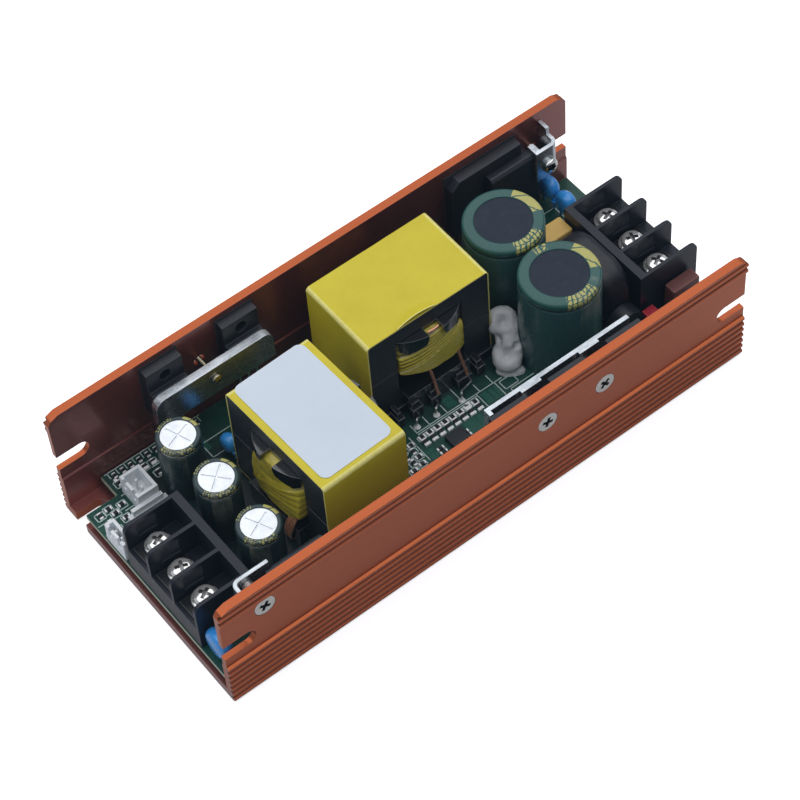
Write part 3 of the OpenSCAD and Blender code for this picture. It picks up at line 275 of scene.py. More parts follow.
@dataclass(frozen=True)
class Finish:
    """A surface finish: two mottled colours, gloss, relief, paler edges for wear and painted highlights, painted shade
    in recesses, and dust.
    """

    name: str
    slot: str
    colour: Colour
    shade: Colour
    roughness: float = 0.5
    spread: float = 0.12
    metallic: float = 0.0
    specular: float = 0.5
    coat: float = 0.0
    coat_roughness: float = 0.15
    mottle_scale: float = 260.0
    stretch: Point = (1.0, 1.0, 1.0)
    grain_scale: float = 1800.0
    relief: float = 0.12
    # edge and its amount: a paler colour on rounded edges, standing for wear and for a painted highlight where edges
    # catch the light.
    edge: Colour = (0.3, 0.3, 0.3)
    edge_amount: float = 0.0
    dust: float = 0.0
    # deep and its amount: painted shade in grooves, recesses and creases, laid where the mesh's "deep" layer says; it
    # also takes some coat away.
    deep: Colour = (0.01, 0.01, 0.01)
    painted_shade_amount: float = 0.0
    subsurface: float = 0.0

    def tint(self, g: Graph, place: Socket, colour: Socket) -> Socket:
        """Hook for finishes that print something on the base colour or paint shade onto it."""
        return colour

    def material(self) -> bpy.types.Material:
        """The finish as a node material, built on first use."""
        if self.name in bpy.data.materials:
            return bpy.data.materials[self.name]
        mat, g = node_material(self.name)
        place = g.place()
        colour = g.use(Effects.mottle(), {"Vector": g.vector("MULTIPLY", place, self.stretch),
                                          "Scale": self.mottle_scale, "Colour": self.colour,
                                          "Shade": self.shade})["Colour"]
        colour, coat = self.tint(g, place, colour), self.coat
        # Paler edges: wear, and a painted highlight where edges catch the light.
        if self.edge_amount:
            colour = g.use(Effects.worn_and_highlit_edges(), {"Vector": place, "Colour": colour, "Edge": self.edge,
                                                  "Amount": self.edge_amount})["Colour"]
        # Painted shade in grooves, recesses and creases, with less coat there.
        if self.painted_shade_amount:
            sunk = g.use(Effects.recess(), {"Colour": colour, "PaintedShade": self.deep, "Amount": self.painted_shade_amount,
                                            "Coat": self.coat})
            colour = sunk["Colour"]
            if self.coat:
                coat = sunk["Coat"]
        if self.dust:
            colour = g.use(Effects.dust(), {"Vector": place, "Colour": colour, "Amount": self.dust})["Colour"]
        grain = g.use(Effects.grain(), {"Vector": place, "Stretch": self.stretch, "Scale": self.grain_scale,
                                        "Strength": self.relief})
        rough = g.span(grain["Value"], 0.3, 0.7, self.roughness - self.spread, self.roughness + self.spread)
        shader = g.add("ShaderNodeBsdfPrincipled", {
            "Base Color": colour, "Roughness": rough, "Normal": grain["Normal"], "Metallic": self.metallic,
            "Specular IOR Level": self.specular, "Coat Weight": coat, "Coat Roughness": self.coat_roughness,
            "Subsurface Weight": self.subsurface})
        if self.subsurface:
            shader.inputs["Subsurface Radius"].default_value = (MM, MM, MM)
        g.add("ShaderNodeOutputMaterial", {"Surface": shader.outputs[0]})
        mat.diffuse_color = (*self.colour, 1.0)
        return mat


@dataclass(frozen=True)
class BoardMask(Finish):
    """Green solder mask with the paler shapes of the copper under it, and painted shade round what stands on it."""

    cells: float = 170.0
    copper: Colour = (0.012, 0.085, 0.052)
    copper_amount: float = 0.55
    # Boxes round which the board is darkened towards the shadow colour: painted shade round the bases of tall parts.
    shaded_feet: tuple[tuple[Point, Point], ...] = ()
    reach: float = 0.012
    shadow: Colour = (0.0025, 0.009, 0.010)
    shadow_amount: float = 0.8

    def tint(self, g: Graph, place: Socket, colour: Socket) -> Socket:
        """Lays out blocky copper shapes and paints shade round the bases of tall parts."""
        pattern = {"Vector": place, "Scale": self.cells, "Randomness": 0.9}
        cells = g.add("ShaderNodeTexVoronoi", pattern, distance="CHEBYCHEV", feature="F1").outputs["Color"]
        edge = g.add("ShaderNodeTexVoronoi", pattern, feature="DISTANCE_TO_EDGE").outputs["Distance"]
        filled = g.span(g.add("ShaderNodeSeparateColor", {0: cells}).outputs[0], 0.45, 0.5)
        colour = g.mix(g.product(filled, g.span(edge, 0.05, 0.07), self.copper_amount), colour, self.copper)
        # Painted shade: darker towards each box.
        for centre, half in self.shaded_feet:
            shade = g.use(Effects.foot_shade(), {"Vector": place, "Centre": centre, "Half": half,
                                                 "Reach": self.reach})["Mask"]
            colour = g.mix(g.product(shade, self.shadow_amount), colour, self.shadow)
        return colour


@dataclass(frozen=True)
class Sleeve(Finish):
    """Dark green shrink sleeve with worn gold print on its rim and side, and painted shade on its side below the rim.
    """

    centre: Point = (0.0, 0.0, 0.0)
    low: float = 0.0
    inner: float = 0.0
    # side: painted shade, the darker colour of the sleeve below its rim.
    side: Colour = (0.01, 0.03, 0.03)
    gold: tuple[Colour, Colour] = ((0.46, 0.43, 0.13), (0.36, 0.33, 0.09))
    pale: Colour = (0.34, 0.33, 0.24)
    patch: float = 0.1
    patch_half: float = 0.5
    stripes_at: float = -1.5
    stripes_half: float = 0.45
    wear: float = 0.3
    extra: float = 0.0
    extra_half: float = 0.2
    side_print: float = 0.0
    print_half: float = 0.45
    print_h: float = 0.0115

    def mark(self, g: Graph, place: Socket, colour: Socket, ink: Socket, angle: float, half: float,
             stripes: float = 0.0, fill: float = -2.0, wear: float = 0.24, low: float = 0.0,
             rows: bool = False) -> Socket:
        """Prints one sector of the rim.

        Args:
            g: the material's tree.
            place: object coordinates.
            colour: what is printed on.
            ink: the print's colour.
            angle: middle of the sector.
            half: half its width.
            stripes: stripes per turn; none makes a solid sector.
            fill: how much of each stripe is left out, from -1 to 1.
            wear: share of the print that is rubbed off.
            low: how far it goes down the side, in metres.
            rows: whether rows cross the stripes.

        Returns:
            The printed colour.
        """
        mask = g.use(Effects.rim_mark(), {
            "Vector": place, "Centre": self.centre, "Angle": angle, "Half": half, "Inner": self.inner,
            "Low": self.low - low, "Stripes": stripes, "Slant": 1500.0 if stripes else 0.0, "Fill": fill,
            "Rows": float(rows), "Uneven": 8.0 if rows else 1.5, "Wear": wear})["Mask"]
        return g.mix(mask, colour, ink)

    def tint(self, g: Graph, place: Socket, colour: Socket) -> Socket:
        """Paints shade on the side below the rim and prints a solid sector, striped ones and a worn patch on the side.
        """
        height = g.split(place)[2]
        # Painted shade: the side below the rim takes the darker side colour.
        colour = g.mix(g.span(height, self.low - 0.4 * MM, self.low + 0.9 * MM), self.side, colour)
        gold = g.mix(g.noise(place, 900.0), *self.gold)
        colour = self.mark(g, place, colour, gold, self.patch, self.patch_half, 9.0, -0.95, 0.14)
        colour = self.mark(g, place, colour, gold, self.stripes_at, self.stripes_half, 46.0, -0.55, self.wear,
                           rows=True)
        if self.extra:
            colour = self.mark(g, place, colour, gold, self.extra, self.extra_half, 40.0, -0.2, 0.4, rows=True)
        if self.side_print:
            worn = g.span(g.noise(g.vector("MULTIPLY", place, (1.0, 1.0, 0.35)), 330.0, 4.0), 0.36, 0.66, 0.0, 0.3)
            fade = g.span(height, self.low - self.print_h, self.low - self.print_h * 0.35)
            ink = g.mix(g.product(worn, fade), colour, self.pale)
            colour = self.mark(g, place, colour, ink, self.side_print, self.print_half, wear=0.3, low=self.print_h)
        return colour


# The outer finish's deep colour is painted shade in the grooves between the ribs, and its pale edge is wear and a
# painted highlight; the inside copy below is darker and greyer, painting the shade and dark reflections on the inner
# walls, the ledge and the floor's ends.
ANODISED = Finish("anodised_orange", "anodised", (0.42, 0.088, 0.020), (0.385, 0.08, 0.018), 0.34, 0.05, 0.8,
                  coat=0.25, coat_roughness=0.36, mottle_scale=120.0, stretch=(0.03, 1.0, 1.0), grain_scale=2600.0,
                  relief=0.05, edge=(0.62, 0.17, 0.045), edge_amount=0.6, deep=(0.03, 0.004, 0.002),
                  painted_shade_amount=0.97)
ANODISED_SHADED_INSIDE = Finish("anodised_inside_painted_shade", "anodised", (0.28, 0.088, 0.074), (0.25, 0.077, 0.064), 0.32, 0.05, 0.7,
                         coat=0.5, coat_roughness=0.14, mottle_scale=120.0, stretch=(0.03, 1.0, 1.0),
                         grain_scale=2600.0, relief=0.03, edge=(0.3, 0.1, 0.06), edge_amount=0.4)
BOARD = BoardMask("solder_mask_green", "board", (0.004, 0.050, 0.036), (0.006, 0.062, 0.045), 0.34, 0.08,
                  specular=0.35, mottle_scale=200.0, relief=0.06, dust=0.06)
BOARD_EDGE = Finish("board_edge", "board", (0.42, 0.45, 0.35), (0.32, 0.35, 0.26), 0.7, 0.1, mottle_scale=900.0,
                    stretch=(1.0, 1.0, 5.0))
BOARD_COPPER = Finish("mask_over_copper", "board", (0.012, 0.105, 0.074), (0.008, 0.08, 0.056), 0.3, 0.08,
                      specular=0.4, mottle_scale=300.0, relief=0.08)
PRINT = Finish("board_print_white", "board", (0.58, 0.68, 0.65), (0.4, 0.5, 0.47), 0.6, 0.1, mottle_scale=900.0)
SOLDER = Finish("solder", "bright_metal", (0.97, 0.98, 0.99), (0.9, 0.91, 0.92), 0.24, 0.08, 0.1, mottle_scale=700.0)
FERRITE = Finish("ferrite_black", "ferrite", (0.010, 0.014, 0.018), (0.014, 0.018, 0.023), 0.42, 0.1, specular=0.45,
                 mottle_scale=500.0, relief=0.14, edge=(0.035, 0.038, 0.043), edge_amount=0.5, dust=0.04)
# The pale edge colours of the bobbin, lug and tape finishes below are painted highlights along their edges.
BOBBIN = Finish("bobbin_black", "bobbin", (0.004, 0.005, 0.006), (0.007, 0.008, 0.010), 0.14, 0.05, specular=0.7,
                coat=0.6, coat_roughness=0.06, relief=0.6, grain_scale=330.0, edge=(0.17, 0.175, 0.185),
                edge_amount=0.8)
LUG = Finish("pin_lug_black", "bobbin", (0.005, 0.006, 0.009), (0.008, 0.009, 0.012), 0.4, 0.08, specular=0.35,
             mottle_scale=500.0, relief=0.2, edge=(0.2, 0.21, 0.225), edge_amount=0.9)
TAPE = Finish("tape_yellow", "tape", (0.61, 0.51, 0.026), (0.555, 0.45, 0.019), 0.36, 0.08, specular=0.3,
              mottle_scale=90.0, relief=0.09, edge=(0.82, 0.76, 0.3), edge_amount=0.8)
# The winding's deep colour is painted shade in its folds, creases and the grooves between strands.
WINDING = Finish("winding_tape", "winding", (0.62, 0.52, 0.05), (0.48, 0.39, 0.03), 0.26, 0.1, specular=0.6,
                 mottle_scale=140.0, stretch=(0.5, 0.5, 2.0), relief=0.16, deep=(0.07, 0.045, 0.005), painted_shade_amount=0.9)
LABEL = Finish("label_white", "label", (0.6, 0.655, 0.72), (0.565, 0.62, 0.69), 0.45, 0.06, specular=0.3,
               mottle_scale=70.0, relief=0.05, edge=(0.7, 0.74, 0.78), edge_amount=0.4)
COPPER = Finish("copper_lead", "winding", (1.0, 0.56, 0.35), (0.86, 0.42, 0.24), 0.22, 0.06, 0.5,
                mottle_scale=260.0)
ENAMEL = Finish("copper_enamelled", "winding", (0.5, 0.25, 0.16), (0.34, 0.16, 0.1), 0.3, 0.06, 0.5,
                mottle_scale=260.0)
CAN = Finish("can_bright", "can", (0.86, 0.89, 0.92), (0.7, 0.73, 0.76), 0.36, 0.06, 0.65, mottle_scale=420.0,
             relief=0.07, edge=(0.5, 0.53, 0.56), edge_amount=0.5)
DISC_END = Finish("end_disc_dark", "dark_disc", (0.016, 0.023, 0.036), (0.019, 0.027, 0.041), 0.6, 0.08,
                  specular=0.2, mottle_scale=200.0, relief=0.14, dust=0.03)
TERMINAL = Finish("terminal_black", "terminal", (0.0065, 0.008, 0.0145), (0.009, 0.011, 0.019), 0.36, 0.05,
                  specular=0.32, mottle_scale=300.0, relief=0.02, edge=(0.042, 0.048, 0.064), edge_amount=0.6)
# The deep colours of the chrome, screw head, plated and yellowed screw finishes are painted shade in their cross
# recesses.
CHROME = Finish("plated_bright", "bright_metal", (0.74, 0.73, 0.7), (0.62, 0.61, 0.58), 0.1, 0.05, 1.0,
                mottle_scale=500.0, relief=0.06, grain_scale=700.0, edge=(0.88, 0.87, 0.84), edge_amount=0.5,
                deep=(0.012, 0.012, 0.013), painted_shade_amount=0.95)
SCREW_HEAD = Finish("terminal_screw", "bright_metal", (0.93, 0.92, 0.9), (0.76, 0.75, 0.72), 0.13, 0.05, 0.75,
                    mottle_scale=500.0, relief=0.42, grain_scale=420.0, edge=(0.97, 0.96, 0.93), edge_amount=0.5,
                    deep=(0.11, 0.11, 0.115), painted_shade_amount=0.85)
PLATE = Finish("contact_plate", "bright_metal", (0.05, 0.05, 0.052), (0.03, 0.03, 0.032), 0.35, 0.05, 0.9,
               mottle_scale=500.0, relief=0.02, edge=(0.2, 0.2, 0.2), edge_amount=0.4)
PLATED = Finish("plated_grey", "bright_metal", (0.7, 0.68, 0.65), (0.56, 0.55, 0.52), 0.36, 0.08, 0.75,
                mottle_scale=600.0, edge=(0.85, 0.84, 0.8), edge_amount=0.5, deep=(0.02, 0.017, 0.015),
                painted_shade_amount=0.97)
BRASSY = Finish("screw_yellowed", "bright_metal", (0.46, 0.4, 0.28), (0.32, 0.27, 0.18), 0.2, 0.08, 1.0,
                mottle_scale=500.0, edge=(0.6, 0.54, 0.42), edge_amount=0.5, deep=(0.03, 0.03, 0.025),
                painted_shade_amount=0.9)
STEEL = Finish("steel_plain", "steel", (0.52, 0.56, 0.6), (0.44, 0.48, 0.52), 0.24, 0.06, 0.95, mottle_scale=420.0,
               stretch=(0.3, 1.0, 1.0), grain_scale=1500.0, relief=0.035, edge=(0.6, 0.63, 0.66), edge_amount=0.5)
# Paler finish for faces that face up: partly the cut steel, partly a painted highlight on those top faces.
STEEL_CUT_HIGHLIT = Finish("steel_cut_edge_highlit", "steel", (0.74, 0.78, 0.82), (0.34, 0.37, 0.4), 0.34, 0.14, 0.5,
                   mottle_scale=520.0, stretch=(0.35, 1.0, 1.0), grain_scale=1400.0, relief=0.3,
                   edge=(0.62, 0.65, 0.68), edge_amount=0.7)
EPOXY = Finish("moulded_epoxy", "epoxy", (0.008, 0.010, 0.014), (0.011, 0.013, 0.018), 0.42, 0.08, specular=0.4,
               mottle_scale=400.0, relief=0.1, edge=(0.035, 0.038, 0.046), edge_amount=0.5)
TINNED = Finish("tinned_lead", "bright_metal", (0.6, 0.6, 0.6), (0.5, 0.5, 0.51), 0.3, 0.08, 1.0, mottle_scale=700.0)
FILM = Finish("film_tan", "film", (0.58, 0.36, 0.082), (0.53, 0.325, 0.07), 0.5, 0.08, mottle_scale=300.0,
              relief=0.2, edge=(0.68, 0.46, 0.15), edge_amount=0.5)
SLEEVING = Finish("shrink_black", "sleeving", (0.007, 0.008, 0.011), (0.010, 0.011, 0.015), 0.36, 0.08, specular=0.4,
                  mottle_scale=120.0, grain_scale=700.0, relief=0.1)
BLUE = Finish("dipped_blue", "disc", (0.040, 0.31, 0.77), (0.033, 0.27, 0.7), 0.24, 0.06, coat=0.3,
              coat_roughness=0.1, mottle_scale=200.0, relief=0.1)
BROWN = Finish("case_brown", "fuse", (0.13, 0.046, 0.04), (0.145, 0.052, 0.046), 0.5, 0.08, specular=0.3,
               mottle_scale=300.0, relief=0.14, edge=(0.22, 0.1, 0.09), edge_amount=0.6)
RED = Finish("case_red", "red", (0.42, 0.018, 0.035), (0.36, 0.014, 0.028), 0.35, 0.08, mottle_scale=300.0,
             edge=(0.55, 0.07, 0.08), edge_amount=0.5)
SILICONE = Finish("silicone_grey", "silicone", (0.60, 0.61, 0.62), (0.50, 0.51, 0.52), 0.45, 0.08, specular=0.35,
                  mottle_scale=200.0, grain_scale=260.0, relief=0.3, dust=0.1)
NYLON = Finish("nylon_white", "connector", (0.79, 0.82, 0.84), (0.73, 0.76, 0.78), 0.36, 0.08,
               mottle_scale=300.0, edge=(0.88, 0.9, 0.92), edge_amount=0.6, subsurface=0.3)
SHEET = Finish("insulating_film", "sheet", (0.3, 0.3, 0.26), (0.26, 0.26, 0.22), 0.4, 0.08, mottle_scale=100.0)
PAD = Finish("thermal_pad", "pad", (0.035, 0.037, 0.04), (0.026, 0.028, 0.03), 0.7, 0.1, specular=0.2,
             mottle_scale=500.0)
BRASS = Finish("brass_turned", "brass", (0.5, 0.37, 0.14), (0.42, 0.3, 0.1), 0.3, 0.08, 1.0, mottle_scale=400.0,
               stretch=(1.0, 1.0, 6.0))
CHIP_DARK = Finish("chip_dark", "epoxy", (0.010, 0.012, 0.015), (0.018, 0.020, 0.024), 0.4, 0.1, specular=0.35,
                   mottle_scale=900.0)


# --------------------------------------------------------------------------- meshes


def to_mesh(name: str, bm: bmesh.types.BMesh) -> bpy.types.Mesh:
    """Turns a working mesh into a plain one and frees it."""
    mesh = bpy.data.meshes.new(name)
    bm.to_mesh(mesh)
    bm.free()
    return mesh


def from_mesh(mesh: bpy.types.Mesh) -> bmesh.types.BMesh:
    """A working copy of a plain mesh."""
    bm = bmesh.new()
    bm.from_mesh(mesh)
    return bm


def linked(name: str, data: bpy.types.ID) -> bpy.types.Object:
    """A new object in the scene for a mesh, a lamp or a camera."""
    obj = bpy.data.objects.new(name, data)
    bpy.context.scene.collection.objects.link(obj)
    return obj


def evaluated(obj: bpy.types.Object) -> bpy.types.Mesh:
    """A new mesh of what the object's modifiers make of it."""
    graph = bpy.context.evaluated_depsgraph_get()
    return bpy.data.meshes.new_from_object(obj.evaluated_get(graph), depsgraph=graph)


def copy_node(node: str) -> bmesh.types.BMesh:
    """A CAD node's mesh with its doubles merged and its flat faces joined.

    Args:
        node: the node's name.

    Returns:
        A new mesh in the part's frame.
    """
    bm = from_mesh(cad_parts[node].data)
    bmesh.ops.remove_doubles(bm, verts=bm.verts, dist=1e-6)
    bmesh.ops.dissolve_limit(bm, angle_limit=math.radians(0.4), verts=bm.verts, edges=bm.edges)
    return bm


def round_edges(bm: bmesh.types.BMesh, width: float, steps: int = 2, angle: float = 35.0,
                keep: Optional[Callable[[bmesh.types.BMEdge], bool]] = None) -> None:
    """Rounds the sharp edges and marks the new faces in the "edge" layer.

    Args:
        bm: the mesh to change.
        width: size of the rounding, in millimetres.
        steps: segments of the rounding.
        angle: edges with a smaller turn stay.
        keep: tells which of the sharp edges are rounded.
    """
    layer = bm.faces.layers.float.get("edge") or bm.faces.layers.float.new("edge")
    limit = math.radians(angle)
    edges = [e for e in bm.edges if len(e.link_faces) == 2 and e.calc_face_angle(0.0) > limit
             and (keep is None or keep(e))]
    made = bmesh.ops.bevel(bm, geom=edges, offset=width * MM, offset_type="OFFSET", segments=steps, profile=0.5,
                           affect="EDGES", clamp_overlap=True, material=-1)
    for face in made["faces"]:
        face[layer] = 1.0


def band(bm: bmesh.types.BMesh, low: Sequence[bmesh.types.BMVert],
         high: Sequence[bmesh.types.BMVert]) -> list[bmesh.types.BMFace]:
    """Joins two rings of points by a band of faces.

    Args:
        bm: the mesh to add to.
        low: points of one ring, or a single one for a pole.
        high: points of the other.

    Returns:
        The new faces.
    """
    faces = []
    count = max(len(low), len(high))
    for k in range(count):
        n = (k + 1) % count
        if len(low) == 1:
            corners = (low[0], high[n], high[k])
        elif len(high) == 1:
            corners = (low[k], low[n], high[0])
        else:
            corners = (low[k], low[n], high[n], high[k])
        faces.append(bm.faces.new(corners))
    return faces


def outward(bm: bmesh.types.BMesh) -> bmesh.types.BMesh:
    """Turns all faces of a closed shape outwards."""
    bmesh.ops.recalc_face_normals(bm, faces=bm.faces)
    return bm


def round_corners(half_x: float, half_y: float, r: float, steps: int) -> list[list[tuple[float, float, float]]]:
    """Rounds the corners of a rectangle.

    Args:
        half_x: half its length.
        half_y: half its width.
        r: radius of its corners.
        steps: segments of each corner.

    Returns:
        The points of each corner with the angle at which they face.
    """
    found = []
    for k, (sx, sy) in enumerate(((1, 1), (-1, 1), (-1, -1), (1, -1))):
        turns = [math.pi / 2 * (k + s / steps) for s in range(steps + 1)]
        found.append([(sx * (half_x - r) + r * math.cos(a), sy * (half_y - r) + r * math.sin(a), a) for a in turns])
    return found


def revolve(profile: Sequence[tuple[float, float]], at: Matrix, steps: int = 64, closed: bool = False,
            shape: Optional[Callable[[float, float, float], float]] = None) -> bmesh.types.BMesh:
    """Turns a profile about the local Z axis.

    Args:
        profile: radius and height pairs in millimetres, going so that the outside is on the right.
        at: where the local frame stands, in millimetres.
        steps: segments round the axis.
        closed: whether the last point joins the first.
        shape: gives a new radius from radius, height and turn.

    Returns:
        The turned mesh, in metres.
    """
    bm = bmesh.new()
    rings: list[list[bmesh.types.BMVert]] = []
    for r, z in profile:
        if r <= 1e-6:
            rings.append([bm.verts.new(at @ Vector((0.0, 0.0, z)) * MM)])
            continue
        ring = []
        for k in range(steps):
            a = 2.0 * math.pi * k / steps
            rr = shape(r, z, a) if shape else r
            ring.append(bm.verts.new(at @ Vector((rr * math.cos(a), rr * math.sin(a), z)) * MM))
        rings.append(ring)
    for low, high in zip(rings, rings[1:] + rings[:1] if closed else rings[1:]):
        band(bm, low, high)
    return outward(bm)


def tube(points: Sequence[Point], radius: float, sides: int = 8) -> bmesh.types.BMesh:
    """A round wire along a smooth path, closed at both ends.

    Args:
        points: the path in millimetres.
        radius: of the wire, in millimetres.
        sides: facets round it.

    Returns:
        The wire, in metres.
    """
    path = [Vector(p) for p in points]
    fine: list[Vector] = []
    for k in range(len(path) - 1):
        a, b, c, d = path[max(k - 1, 0)], path[k], path[k + 1], path[min(k + 2, len(path) - 1)]
        for s in range(6):
            t = s / 6.0
            fine.append(0.5 * ((2 * b) + (c - a) * t + (2 * a - 5 * b + 4 * c - d) * t * t
                               + (3 * b - a - 3 * c + d) * t ** 3))
    fine.append(path[-1])
    bm = bmesh.new()
    side = Vector((0.37, 0.61, 0.7))
    rings = []
    for k, p in enumerate(fine):
        ahead = (fine[min(k + 1, len(fine) - 1)] - fine[max(k - 1, 0)]).normalized()
        side = (side - ahead * side.dot(ahead)).normalized()
        up = ahead.cross(side)
        rings.append([bm.verts.new((p + radius * (side * math.cos(2 * math.pi * s / sides)
                                                  + up * math.sin(2 * math.pi * s / sides))) * MM)
                      for s in range(sides)])
    for low, high in zip(rings, rings[1:]):
        band(bm, low, high)
    bm.faces.new(list(reversed(rings[0])))
    bm.faces.new(rings[-1])
    return outward(bm)


def merged(parts: Iterable[bmesh.types.BMesh]) -> bmesh.types.BMesh:
    """Joins several meshes into one and frees them."""
    bm = bmesh.new()
    for part in parts:
        mesh = to_mesh("part", part)
        bm.from_mesh(mesh)
        bpy.data.meshes.remove(mesh)
    return bm


def piece(name: str, shape: bmesh.types.BMesh | bpy.types.Mesh, finishes: Sequence[Finish],
          replaces: Sequence[str] = (), angle: float = 40.0, weighted: bool = True) -> bpy.types.Object:
    """Makes a finished piece that rides on the body.

    Args:
        name: the piece's name.
        shape: its mesh, in the part's frame.
        finishes: its finishes, by material index.
        replaces: CAD nodes it stands for.
        angle: edges that turn more stay sharp.
        weighted: whether wide faces keep flat shading beside rounded edges.

    Returns:
        The object.
    """
    mesh = to_mesh(name, shape) if isinstance(shape, bmesh.types.BMesh) else shape
    mesh.name = name
    obj = linked(name, mesh)
    if mesh.materials:
        mesh.materials.clear()
    for finish in finishes:
        mesh.materials.append(finish.material())
    mesh.shade_smooth()
    mesh.set_sharp_from_angle(angle=math.radians(angle))
    if weighted:
        mod = obj.modifiers.new("even_shading", "WEIGHTED_NORMAL")
        mod.keep_sharp = True
        mod.weight = 80
    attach(obj, BODY)
    if replaces:
        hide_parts(*replaces)
    log.info("%s: %d faces", name, len(mesh.polygons))
    return obj


def dressed_copy(node: str, finish: Finish, width: float, steps: int = 2, angle: float = 35.0,
                 second: Optional[Finish] = None,
                 is_second: Optional[Callable[[Vector, Vector], bool]] = None) -> bpy.types.Object:
    """A CAD node with rounded edges and a finish, standing for the node.

    Args:
        node: the CAD node.
        finish: its main finish.
        width: rounding in millimetres.
        steps: segments of the rounding.
        angle: edges with a smaller turn stay.
        second: another finish for some faces.
        is_second: tells from a face's middle (in millimetres) and normal whether it takes the other finish.

    Returns:
        The object.
    """
    bm = copy_node(node)
    if is_second:
        for face in bm.faces:
            face.material_index = int(is_second(face.calc_center_median() / MM, face.normal))
    round_edges(bm, width, steps, angle)
    return piece("dressed_" + node, bm, [finish] + ([second] if second else []), [node])


def node_box(node: str) -> tuple[Vector, Vector]:
    """A CAD node's lowest and highest corner in millimetres."""
    low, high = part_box(node)
    return low / MM, high / MM


def solid_boxes(node: str) -> list[tuple[Vector, Vector]]:
    """Boxes, in millimetres, of a node's separate solids.

    Args:
        node: the CAD node.

    Returns:
        Lowest and highest corner of each solid, in order along X, then Y.
    """
    bm = copy_node(node)
    left, boxes = set(bm.verts), []
    while left:
        stack, seen = [left.pop()], []
        while stack:
            vert = stack.pop()
            seen.append(vert.co / MM)
            joined = {edge.other_vert(vert) for edge in vert.link_edges} & left
            left -= joined
            stack += joined
        boxes.append((Vector(map(min, *seen)), Vector(map(max, *seen))))
    bm.free()
    return sorted(boxes, key=lambda box: (round(box[0].x, 2), round(box[0].y, 2)))


# --------------------------------------------------------------------------- geometry nodes


